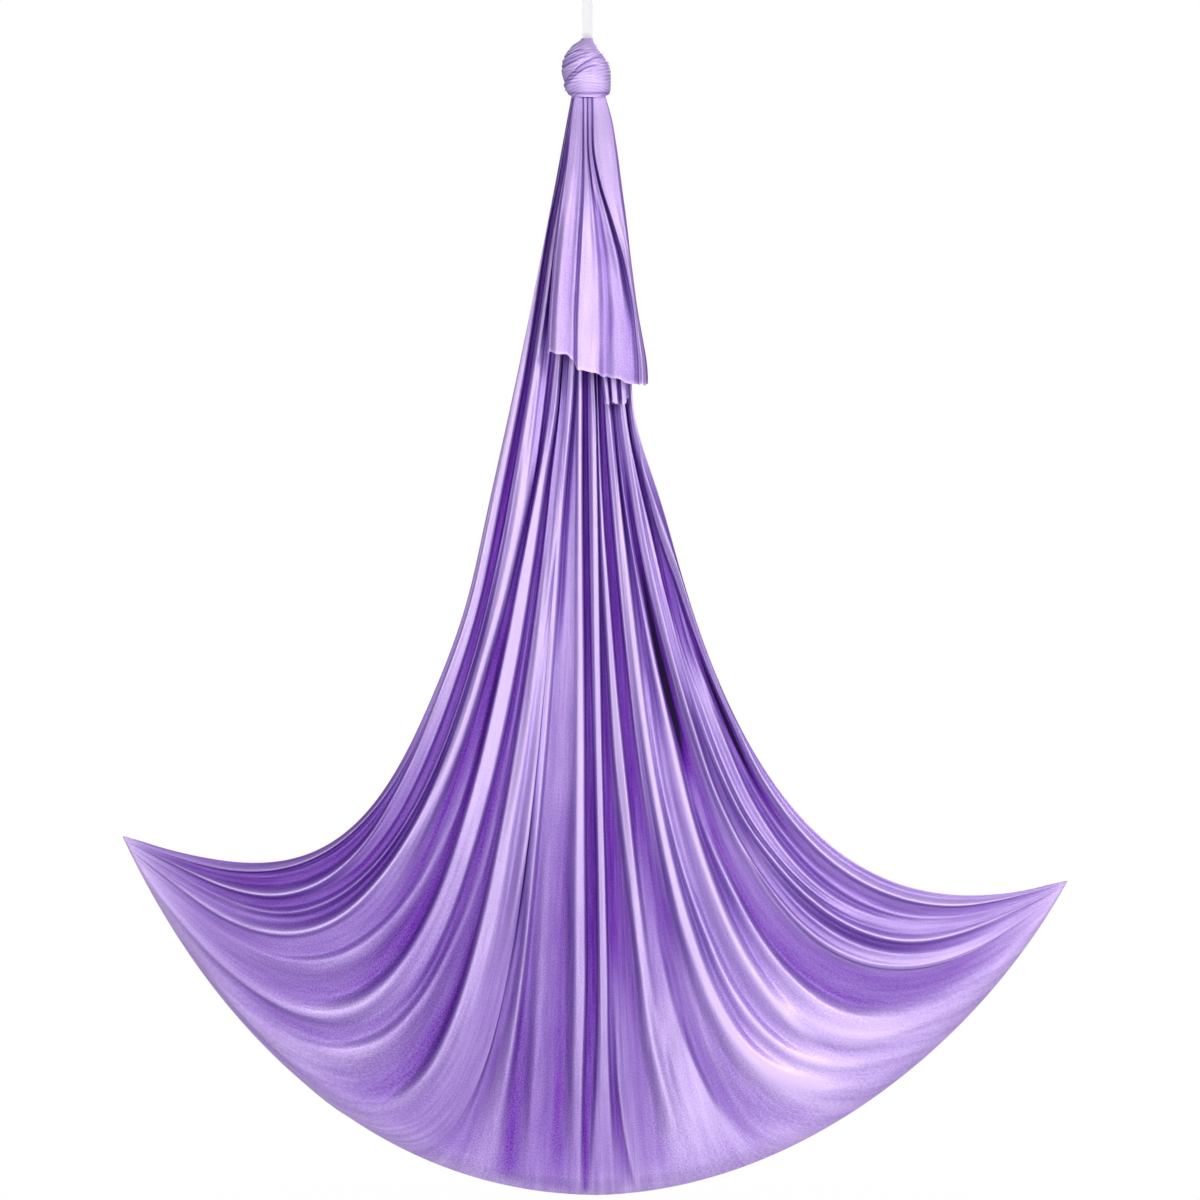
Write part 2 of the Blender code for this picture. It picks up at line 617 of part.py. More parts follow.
def edge_distance(points):
    # Distance of each (x, drop) to the bottom fold, and the unit way from the fold to it
    edge = fold_point(np.linspace(-1, 1, 601))
    nearest = ((points[:, None, :] - edge[None, :, :]) ** 2).sum(axis=2).argmin(axis=1)
    tangent = np.gradient(edge, axis=0)[nearest]
    step = np.linalg.norm(tangent, axis=1)
    tangent /= step[:, None]
    way = points - edge[nearest]
    along = (way * tangent).sum(axis=1)
    way -= np.where(np.abs(along) < step, along, 0.0)[:, None] * tangent
    distance = np.linalg.norm(way, axis=1)
    inward = np.stack((tangent[:, 1], -tangent[:, 0]), axis=1)
    far = distance > FOLD_NEARNESS
    inward[far] = way[far] / distance[far, None]
    return distance, inward


def spread(points):
    # Half of the space between the panels at each (x, drop)
    opened = NECK_SPREAD + (SEAT_SPREAD - NECK_SPREAD) * ease(points[:, 1] / SPREAD_DROP)
    tips = np.array(((-LEFT_REACH, LEFT_TIP_DROP), (RIGHT_REACH, RIGHT_TIP_DROP)))
    to_tip = np.linalg.norm(points[:, None, :] - tips[None], axis=2).min(axis=1)
    return TIP_SPREAD + (opened - TIP_SPREAD) * ease(to_tip / TIP_RUN)


def panel_grids(phase):
    # Outer and inner points of a panel, as arrays of (x, depth from the middle, drop)
    count = len(FOLD_LINES) - 1
    columns = count * COLUMNS_PER_PLEAT + 1
    indices = np.linspace(0, count, columns)
    plane = []
    shares = []
    for index in indices:
        points, along = fold_line(index)
        places = line_shares(along[-1])
        plane.append(np.stack([np.interp(places * along[-1], along, points[:, k]) for k in (0, 1)], axis=1))
        shares.append(places)
    plane = np.array(plane).transpose(1, 0, 2)
    shares = np.array(shares).T
    rows = plane.shape[0]

    width = np.linalg.norm(np.gradient(plane, axis=1), axis=2) * COLUMNS_PER_PLEAT
    depth = PLEAT_DEPTH * width / (width + PLEAT_HALFWAY)
    fading = ease((shares - PLEAT_FADE_START) / (PLEAT_FADE_STOP - PLEAT_FADE_START))
    depth *= 1 - (1 - PLEAT_FADE_END) * fading
    depth[-1] = 0.0
    wave = 0.5 + 0.5 * np.cos(2 * math.pi * (indices + phase))
    height = depth * wave[None, :]

    flat = plane.reshape(-1, 2)
    distance, inward = edge_distance(flat)
    half = spread(flat)
    near = np.clip(distance / half, 0.0, 1.0)
    pillow = np.sqrt(1 - (1 - near) ** 2)
    normal = np.stack((-inward[:, 0] * (1 - near), pillow, -inward[:, 1] * (1 - near)), axis=1)
    base = np.stack((flat[:, 0], half * pillow, flat[:, 1]), axis=1)
    outer = base + (CLOTH_THICKNESS + height.reshape(-1))[:, None] * normal
    for grid in (base, outer):
        grid[:, 1] = np.maximum(grid[:, 1], SEAT_GAP / 2)
    return outer.reshape(rows, columns, 3), base.reshape(rows, columns, 3)


def placed(grid, side):
    # From (x, depth, drop) to the hammock's own frame, whose origin is on the ring's straight bar
    neck = NECK_Z - RING_PIVOT_Z
    return [[(p[0], side * p[1], neck - p[2]) for p in row] for row in grid]


def make_panel(name, side, phase, material, hang):
    outer, inner = panel_grids(phase)
    add_object(name, skin(placed(outer, side), placed(inner, side)), material, parent=hang, angle=70.0)
    return outer


def depth_in_front(grids, drops):
    # The deepest point of the layers behind, at each drop
    columns = [grid[:, c] for grid in grids for c in range(grid.shape[1])]
    return np.max([np.interp(drops, column[:, 2], column[:, 1]) for column in columns], axis=0)


def make_tail(name, behind, hem, hem_drops, neck_share, pleats, material, hang):
    left, right = hem
    left_drop, right_drop = hem_drops
    across = np.linspace(0.0, 1.0, pleats * TAIL_COLUMNS_PER_PLEAT + 1)
    down = np.linspace(0.0, 1.0, TAIL_ROWS)
    neck_left, neck_right = -NECK_LEFT * neck_share, NECK_RIGHT * neck_share
    length = left_drop + (right_drop - left_drop) * across
    drops = down[:, None] * length[None, :]
    open_share = down[:, None] ** TAIL_OPENING
    left_edge = neck_left + (left - neck_left) * open_share
    right_edge = neck_right + (right - neck_right) * open_share
    belly = TAIL_BELLY * np.sin(math.pi * down)[:, None] * (2 * across[None, :] - 1)
    x = left_edge + (right_edge - left_edge) * across[None, :] + belly
    wave = 0.5 - 0.5 * np.cos(2 * math.pi * pleats * across)
    width = (right_edge - left_edge) / pleats
    height = TAIL_PLEAT_DEPTH * width / (width + PLEAT_HALFWAY) * wave[None, :]
    base = (depth_in_front(behind, down * max(left_drop, right_drop)) + TAIL_GAP)[:, None] * np.ones_like(x)
    base[0] = behind[-1][0, :, 1].max() + TAIL_GAP / 2
    inner = np.stack((x, base + height, drops), axis=2)
    outer = inner + np.array((0.0, TAIL_THICKNESS, 0.0))
    add_object(name, skin(placed(outer, -1), placed(inner, -1)), material, parent=hang, angle=70.0)
    return outer


# Assembly

def main():
    clear_scene()
    steel = make_material("polished_steel", (0.62, 0.63, 0.65), 0.25, 1.0)
    sleeve_steel = make_material("sleeve_steel", (0.55, 0.56, 0.58), 0.35, 1.0)
    pin_steel = make_material("pin_steel", (0.50, 0.51, 0.53), 0.30, 1.0)
    plunger_steel = make_material("plunger_steel", (0.56, 0.56, 0.58), 0.30, 1.0)
    spring_steel = make_material("spring_steel", (0.45, 0.45, 0.47), 0.35, 1.0)
    gate_steel = make_material("gate_steel", (0.60, 0.61, 0.63), 0.28, 1.0)
    ring_steel = make_material("ring_steel", (0.58, 0.59, 0.61), 0.30, 1.0)
    webbing = make_material("pale_webbing", (0.80, 0.80, 0.80), 0.85)
    lip_cloth = make_material("knot_lip_cloth", (0.56, 0.42, 0.76), 0.45)
    lower_cloth = make_material("knot_lower_cloth", (0.52, 0.38, 0.76), 0.45)
    diagonal_cloth = make_material("knot_diagonal_cloth", (0.48, 0.34, 0.72), 0.45)
    crown_cloth = make_material("knot_crown_cloth", (0.46, 0.32, 0.70), 0.45)
    front_cloth = make_material("front_panel_cloth", (0.46, 0.32, 0.72), 0.45)
    back_cloth = make_material("back_panel_cloth", (0.42, 0.28, 0.68), 0.45)
    rear_tail_cloth = make_material("rear_tail_cloth", (0.54, 0.38, 0.78), 0.45)
    front_tail_cloth = make_material("front_tail_cloth", (0.58, 0.42, 0.82), 0.45)

    make_carabiner_frame(steel)
    gate_hinge = add_empty("gate_hinge", (BOW_RADIUS, 0.0, PIN_Z))
    make_gate(gate_steel, gate_hinge)
    make_gate_parts(pin_steel, plunger_steel, spring_steel, gate_hinge)
    make_sleeve(sleeve_steel, gate_hinge)

    strap_pivot = add_empty("strap_pivot", (0.0, 0.0, STRAP_PIVOT_Z))
    make_strap(webbing, strap_pivot)

    hang = add_empty("hammock_pivot", (0.0, 0.0, -STRAP_LENGTH), parent=strap_pivot)
    add_object("d_ring", ring_bar(RING_BAR / 2), ring_steel, parent=hang)
    make_knot(lip_cloth, lower_cloth, diagonal_cloth, crown_cloth, hang)
    front = make_panel("front_panel", -1, 0.0, front_cloth, hang)
    make_panel("back_panel", 1, 0.5, back_cloth, hang)
    rear_tail = make_tail("rear_tail", [front], (REAR_TAIL_LEFT, REAR_TAIL_RIGHT),
                          (REAR_TAIL_LEFT_DROP, REAR_TAIL_RIGHT_DROP), REAR_TAIL_NECK,
                          REAR_TAIL_PLEATS, rear_tail_cloth, hang)
    make_tail("front_tail", [front, rear_tail], (FRONT_TAIL_LEFT, FRONT_TAIL_RIGHT),
              (FRONT_TAIL_LEFT_DROP, FRONT_TAIL_RIGHT_DROP), FRONT_TAIL_NECK,
              FRONT_TAIL_PLEATS, front_tail_cloth, hang)


main()
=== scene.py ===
import math

import bmesh
import bpy
import numpy as np
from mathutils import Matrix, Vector


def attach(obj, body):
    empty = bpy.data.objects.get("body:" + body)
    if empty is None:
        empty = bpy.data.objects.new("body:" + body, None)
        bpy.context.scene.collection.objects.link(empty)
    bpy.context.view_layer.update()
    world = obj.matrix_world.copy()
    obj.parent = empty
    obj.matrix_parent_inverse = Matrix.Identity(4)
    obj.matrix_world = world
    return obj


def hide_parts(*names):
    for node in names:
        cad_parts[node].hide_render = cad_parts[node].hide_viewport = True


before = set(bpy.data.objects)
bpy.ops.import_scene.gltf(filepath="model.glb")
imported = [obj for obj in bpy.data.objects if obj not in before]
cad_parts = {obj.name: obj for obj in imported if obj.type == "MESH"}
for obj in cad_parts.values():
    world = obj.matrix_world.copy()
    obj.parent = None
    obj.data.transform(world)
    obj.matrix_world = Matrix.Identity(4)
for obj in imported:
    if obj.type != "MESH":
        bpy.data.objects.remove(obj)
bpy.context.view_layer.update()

# Aerial yoga hammock: satin cloth on a knot, a webbing strap and a screw-sleeve carabiner.
# Metres. The viewer stands at -Y, and the knot hangs under the origin.
scene = bpy.context.scene
print("frame loaded:", len(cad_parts), "nodes")


# Camera and room

view = {
    "x": 0.025,
    "z": -1.350,
    "distance": 6.0,
    "width": 2.400,          # seen across the hammock
    "sensor": 36.0,
    "floor": -3.100,
    "floorHalf": 30.0,
    "floorPaint": ((0.86, 0.86, 0.87, 1.0), (0.90, 0.90, 0.90, 1.0)),
    "shadowFade": (1.0, 5.0),    # from the floor's middle, where its shadow turns to white
    "shadow": 0.25,
    "glow": 0.40,            # of the world on the cloth
}
white = (1.0, 1.0, 1.0, 1.0)


def addObject(name, data):
    item = bpy.data.objects.new(name, data)
    scene.collection.objects.link(item)
    return item


cameraData = bpy.data.cameras.new("photoCamera")
cameraData.sensor_width = view["sensor"]
cameraData.lens = view["sensor"] * view["distance"] / view["width"]
camera = addObject("photoCamera", cameraData)
camera.location = (view["x"], -view["distance"], view["z"])
camera.rotation_euler = (math.radians(90), 0, 0)
scene.camera = camera
scene.view_settings.view_transform = "Standard"


# Shader helpers

def feed(socket, value):
    # Sets an input socket, or links it to a value of the tree
    if isinstance(value, Wire):
        socket.id_data.links.new(value.socket, socket)
    else:
        socket.default_value = value


class Wire:
    # One shader value. Sums and products of values add Math nodes.
    def __init__(self, socket):
        self.socket = socket

    def math(self, operation, first, second):
        node = self.socket.id_data.nodes.new("ShaderNodeMath")
        node.operation = operation
        feed(node.inputs[0], first)
        feed(node.inputs[1], second)
        return Wire(node.outputs[0])

    def __add__(self, other):
        return self.math("ADD", self, other)

    def __radd__(self, other):
        return self.math("ADD", other, self)

    def __sub__(self, other):
        return self.math("SUBTRACT", self, other)

    def __rsub__(self, other):
        return self.math("SUBTRACT", other, self)

    def __mul__(self, other):
        return self.math("MULTIPLY", self, other)

    def __rmul__(self, other):
        return self.math("MULTIPLY", other, self)


class Shader:
    # The node tree of one material or world, with its surface shader ready
    def __init__(self, name, group="materials", surface="Principled BSDF"):
        self.owner = getattr(bpy.data, group).new(name)
        self.owner.use_nodes = True
        self.tree = self.owner.node_tree
        self.surface = self.tree.nodes[surface]

    def node(self, kind, settings=None, output=0, **values):
        # Any node: its settings first, then the numbers or links of its sockets
        node = self.tree.nodes.new("ShaderNode" + kind)
        for key, value in (settings or {}).items():
            if key == "stops":
                ramp = node.color_ramp
                while len(ramp.elements) < len(value):
                    ramp.elements.new(0.5)
                for element, (at, color) in zip(ramp.elements, value):
                    element.position = at
                    element.color = color
            else:
                setattr(node, key, value)
        for key, value in values.items():
            # Sockets that share a name go by their number, as in i0
            feed(node.inputs[int(key[1:]) if key[1:].isdigit() else key.replace("_", " ")], value)
        return Wire(node.outputs[output])

    def put(self, **values):
        for key, value in values.items():
            feed(self.surface.inputs[key.replace("_", " ")], value)
        return self.owner

    def mix(self, factor, first, second):
        # Two colours mixed by a factor
        return self.node("Mix", {"data_type": "RGBA"}, 2, i0=factor, i6=first, i7=second)

    def stretch(self, place, scale):
        return self.node("VectorMath", {"operation": "MULTIPLY"}, i0=place, i1=scale)

    def bands(self, direction, **values):
        return self.node("TexWave", {"wave_type": "BANDS", "bands_direction": direction}, 1, **values)

    def cover(self, factor, shader, output):
        # Another shader mixed over the surface shader
        both = self.node("MixShader", i0=factor, i1=Wire(self.surface.outputs[0]), i2=shader)
        feed(self.tree.nodes[output].inputs[0], both)


def srgb(code):
    parts = [int(code[i:i + 2], 16) / 255 for i in (0, 2, 4)]
    return (*[part / 12.92 if part <= 0.04045 else ((part + 0.055) / 1.055) ** 2.4 for part in parts], 1.0)


# Materials

satin = {
    # Painted shade and highlight, from the near-black painted shade where a crease closes to the pale painted
    # highlight of a lit crest: place on the ramp and colour
    "tones": ((0.0, "140A28"), (0.07, "4A1F80"), (0.20, "671FA3"), (0.56, "9E82CB"), (0.94, "E0CAFC")),
    "highlightPink": "E6C0F6",
    "edge": "B79AE0",        # tint of the sheen at grazing angles
    # Streaks, clouds and crinkles run with the cloth: scale across and along, detail, roughness
    "noises": ((36.0, 1.5, 8.0, 0.74), (16.0, 3.4, 3.0, 0.55), (52.0, 9.0, 5.0, 0.7)),
    "uneven": (0.42, 0.12, 0.22, 0.50),   # of the tone, by streaks, clouds, crinkles and grain
    "grain": 330.0,
    "knitScale": (900.0, 260.0, 1.0),
    "roughness": 0.42,
    "metallic": 0.36,
    "streaks": 0.60,         # strength of the streaks' bump, and of the knit's
    "knit": 0.20,
}


def satinCloth(name, highlightWarmth=0.0):
    s = Shader(name)
    place = s.node("UVMap", {"uv_map": "clothUV"})
    # The painted shading of the mesh: painted shade in its valleys and creases, painted highlight on its crests
    height = s.node("Attribute", {"attribute_name": "pleat"}, 2)
    turned = s.node("LayerWeight", None, 1, Blend=0.5)

    streak, cloud, crinkle = (
        s.node("TexNoise", {"noise_dimensions": "2D"}, Vector=s.stretch(place, (across, along, 1.0)), Scale=1.0,
               Detail=detail, Roughness=roughness) for across, along, detail, roughness in satin["noises"])
    grain = s.node("TexNoise", {"noise_dimensions": "2D"}, Vector=place, Scale=satin["grain"], Detail=2.0,
                   Roughness=0.6)
    knit = s.bands("X", Vector=s.stretch(place, satin["knitScale"]), Scale=0.30, Distortion=1.2, Detail=1.0)

    facing = 1.0 - turned
    streaks, clouds, crinkles, grains = satin["uneven"]
    uneven = (streak - 0.5) * streaks + (crinkle - 0.5) * crinkles + (grain - 0.5) * grains + (cloud - 0.5) * clouds
    # Painted shade and highlight: the colour is darker in the valleys and on slopes turned from the camera, and paler
    # on the crests
    shade = height * 0.80 + facing * 0.26 + uneven
    color = s.node("ValToRGB", {"stops": [(at, srgb(tone)) for at, tone in satin["tones"]]}, Fac=shade)
    # A painted pink highlight on the crests, patchy with the clouds
    highlightPink = s.mix(cloud * height * highlightWarmth, color, srgb(satin["highlightPink"]))
    rough = (streak - 0.5) * 0.20 + (cloud - 0.5) * 0.14 + satin["roughness"]
    fine = s.node("Bump", Strength=satin["knit"], Distance=0.0005, Height=knit * 0.5 + grain)
    bumped = s.node("Bump", Strength=satin["streaks"], Distance=0.0022, Height=streak * 0.6 + crinkle * 0.8,
                    Normal=fine)
    return s.put(Base_Color=highlightPink, Roughness=rough, Normal=bumped, Metallic=satin["metallic"],
                 Specular_Tint=srgb(satin["edge"]))


webbing = {"pale": "F6F6F7", "shadow": "DEDFE1", "ribs": 230.0, "picks": 330.0}


def webbingWeave(name):
    s = Shader(name)
    place = s.node("TexCoord", None, 3)
    ribs = s.bands("X", Vector=place, Scale=webbing["ribs"], Distortion=0.4, Detail=1.0)
    picks = s.bands("Z", Vector=place, Scale=webbing["picks"], Distortion=0.8, Detail=1.0)
    grime = s.node("TexNoise", Vector=place, Scale=60.0, Detail=3.0)
    weave = ribs * 0.7 + picks * 0.3
    color = s.mix(weave * 0.5 + grime * 0.5, srgb(webbing["shadow"]), srgb(webbing["pale"]))
    bump = s.node("Bump", Strength=0.6, Distance=0.0004, Height=weave)
    return s.put(Base_Color=color, Roughness=grime * 0.2 + 0.72, Normal=bump, Sheen_Weight=0.2)


def steelFinish(name, code, roughness, grain=(400.0, 400.0, 30.0), wear=0.10):
    # Steel drawn along the axis where grain is small
    s = Shader(name)
    color = srgb(code)
    place = s.node("TexCoord", None, 3)
    lines = s.node("TexNoise", Vector=s.stretch(place, grain), Scale=3.0, Detail=4.0, Roughness=0.6)
    patches = s.node("TexNoise", Vector=place, Scale=90.0, Detail=3.0)
    shade = s.mix(patches * 0.6 + lines * 0.4, (*(part * 0.78 for part in color[:3]), 1.0), color)
    rough = (patches - 0.5) * (wear * 2) + (lines - 0.5) * wear + roughness
    bump = s.node("Bump", Strength=0.15, Distance=0.0002, Height=lines)
    return s.put(Base_Color=shade, Roughness=rough, Metallic=1.0, Normal=bump)


thread = {"pale": "F6F6F8", "shadow": "DCDCE0", "twist": 900.0}


def sewingThread(name):
    s = Shader(name)
    place = s.node("TexCoord", None, 3)
    twist = s.bands("DIAGONAL", Vector=place, Scale=thread["twist"])
    color = s.mix(twist, srgb(thread["shadow"]), srgb(thread["pale"]))
    bump = s.node("Bump", Strength=0.4, Distance=0.0002, Height=twist)
    return s.put(Base_Color=color, Roughness=twist * 0.15 + 0.6, Normal=bump)


clothSatin = satinCloth("panelSatin", 0.2)
tailSatin = satinCloth("tailSatin", 0.35)
knotSatin = satinCloth("knotSatin", 0.15)
strapWeave = webbingWeave("strapWeave")
threadFinish = sewingThread("tackThread")
steelFinishes = {
    "carabiner_frame": steelFinish("bowSteel", "C9CBCF", 0.24, (30.0, 400.0, 400.0)),
    "carabiner_gate": steelFinish("gateSteel", "C4C6CA", 0.28),
    "gate_pin": steelFinish("pinSteel", "B4B6BA", 0.30, (400.0, 30.0, 400.0)),
    "gate_plunger": steelFinish("plungerSteel", "BDBFC3", 0.30),
    "gate_spring": steelFinish("springSteel", "A6A8AC", 0.34),
    "locking_sleeve": steelFinish("sleeveSteel", "BEC0C4", 0.36, wear=0.16),
    "d_ring": steelFinish("ringSteel", "C2C4C8", 0.28, (30.0, 400.0, 400.0)),
}
for nodeName, finish in steelFinishes.items():
    node = bpy.data.objects[nodeName]
    if not node.material_slots:
        node.data.materials.append(finish)
    for slot in node.material_slots:
        slot.material = finish
print("materials ready")


# Mesh helpers

def ease(share):
    share = np.clip(share, 0.0, 1.0)
    return share * share * (3 - 2 * share)


def rising(start, share):
    # From start to 1 as share goes from 0 to 1
    return start + (1 - start) * ease(share)


def through(places, at, values):
    # Values at places, smooth between the knots at and level on each knot
    low = np.clip(np.searchsorted(at, places, side="right") - 1, 0, len(at) - 2)
    share = ease((places - at[low]) / (at[low + 1] - at[low]))
    return values[low] + (values[low + 1] - values[low]) * share


def wave(turns):
    return 0.5 - 0.5 * np.cos(2 * math.pi * turns)


def smoothed(rows, kernel, **ends):
    # Each row run through a kernel, its end values carried on unless ends says otherwise
    kernel = kernel / kernel.sum()
    ends = ends or {"mode": "edge"}
    return np.array([np.convolve(np.pad(row, len(kernel) // 2, **ends), kernel, mode="valid") for row in rows])


def ripple(a, b, seed):
    # Seeded smooth unevenness, about -1 to 1
    total = np.zeros(np.broadcast(a, b).shape)
    for k in range(5):
        turn = 1.7 * seed + 2.4 * k
        total = total + np.sin(a * (1 + 0.61 * k) + turn) * np.sin(b * (1 + 0.47 * k) - 1.3 * turn) / (1 + 0.6 * k)
    return total / 1.8


neckEnd = {"narrow": (0.9, 0.7, 1.0), "rise": (0.0, 0.0, 0.008)}


def gridObject(name, points, across, along, pleat, material, closed=False, necks=()):
    # A sheet from rows and columns of points, with its cloth coordinates and its painted shading, the painted shade
    # and highlight that its material turns into colour. The end rows named in necks, 0 for the first and -1 for the
    # last, get one row more, inside the knot
    grids = [points, across, along, pleat]
    for neck in necks:
        ends = [grid[[neck]] for grid in grids]
        ends[0] = ends[0] * neckEnd["narrow"] + neckEnd["rise"]
        grids = [np.concatenate((end, grid) if neck == 0 else (grid, end)) for end, grid in zip(ends, grids)]
    points, across, along, pleat = grids
    rows, columns = points.shape[:2]
    index = np.arange(rows * columns).reshape(rows, columns)
    if closed:
        index = np.concatenate((index, index[:, :1]), axis=1)
    quads = np.stack((index[:-1, :-1], index[:-1, 1:], index[1:, 1:], index[1:, :-1]), axis=-1).reshape(-1, 4)
    mesh = bpy.data.meshes.new(name)
    mesh.from_pydata(points.reshape(-1, 3).tolist(), [], quads.tolist())
    mesh.shade_smooth()
    uv = np.stack((across.reshape(-1), along.reshape(-1)), axis=1)[quads.reshape(-1)]
    mesh.uv_layers.new(name="clothUV").data.foreach_set("uv", uv.reshape(-1).astype(np.float32))
    height = mesh.attributes.new("pleat", "FLOAT", "POINT")
    height.data.foreach_set("value", pleat.reshape(-1).astype(np.float32))
    mesh.materials.append(material)
    return addObject(name, mesh)


def meshObject(name, bm, material):
    mesh = bpy.data.meshes.new(name)
    bm.to_mesh(mesh)
    bm.free()
    mesh.materials.append(material)
    return addObject(name, mesh)


# Cloth panels

cloth = {
    "neckZ": -0.3483,
    "drop": 2.190,
    "left": (-0.929, 1.474),      # tip: reach and drop
    "right": (0.959, 1.563),
    "lowest": 0.021,
    "neckLeft": 0.033,
    "neckRight": 0.037,
    "width": 2.44,                # the cloth as cut
    "panelLength": 2.23,
    "seatHalf": 0.040,            # half of the space between the panels at the seat
    "neckHalf": 0.0012,
    "tipHalf": 0.004,
    "spreadDrop": 1.10,
    "tipRun": 0.35,
    # Front and back: folds' depth at the neck and below it, and the share where swags begin
    "front": (0.012, 0.026, 0.45),
    "back": (0.029, 0.052, 0.55),
    "swagDepth": 0.056,
    "swagHalfway": 0.060,
    "crinkle": 0.0022,
    "skin": 0.001,
    "inset": 0.010,               # how far the valleys sink behind the inner skin
    "fade": (0.22, 0.26),         # of the folds at the bottom fold: share kept there, and the run
    "neckNarrow": (0.62, 0.09),   # of the depth at the knot: share kept, and the run
    "selvedgeInset": 0.012,       # of the back's selvedges
    "rimTone": (0.42, 0.45, 0.022),   # at the bottom fold: level that the painted fold shading fades to, added painted highlight along the edge and the edge's run
    "tucks": ((15, 0.64, -0.020, 0.13), (0, 1.02, 0.009, 0.16)),   # fold line, drop, shift of x, run
    "columns": 720,
    "rows": 240,
    "rollRows": 14,
}

# Fold lines from the left selvedge to the right one: neck place, two handles as shares of the
# side's reach and of the drop, and the end's place along the bottom fold
foldLines = np.array((
    (-1.00, -0.332, 0.694, -0.456, 0.742, -1.0),
    (-0.88, -0.296, 0.714, -0.484, 0.787, -0.990),
    (-0.76, -0.254, 0.787, -0.498, 0.860, -0.970),
    (-0.58, -0.190, 0.906, -0.463, 0.961, -0.925),
    (-0.40, -0.141, 0.961, -0.318, 1.020, -0.580),
    (-0.26, -0.108, 0.760, -0.178, 0.988, -0.330),
    (-0.12, -0.050, 0.367, -0.110, 0.760, -0.130),
    (0.00, -0.008, 0.367, -0.008, 0.733, -0.020),
    (0.16, 0.024, 0.367, 0.038, 0.733, 0.040),
    (0.30, 0.056, 0.367, 0.082, 0.733, 0.100),
    (0.44, 0.084, 0.640, 0.196, 0.970, 0.330),
    (0.56, 0.140, 0.722, 0.302, 0.943, 0.640),
    (0.68, 0.150, 0.730, 0.438, 0.924, 0.955),
    (0.80, 0.152, 0.715, 0.462, 0.906, 0.975),
    (0.90, 0.154, 0.695, 0.500, 0.833, 0.990),
    (1.00, 0.156, 0.675, 0.555, 0.766, 1.0),
))
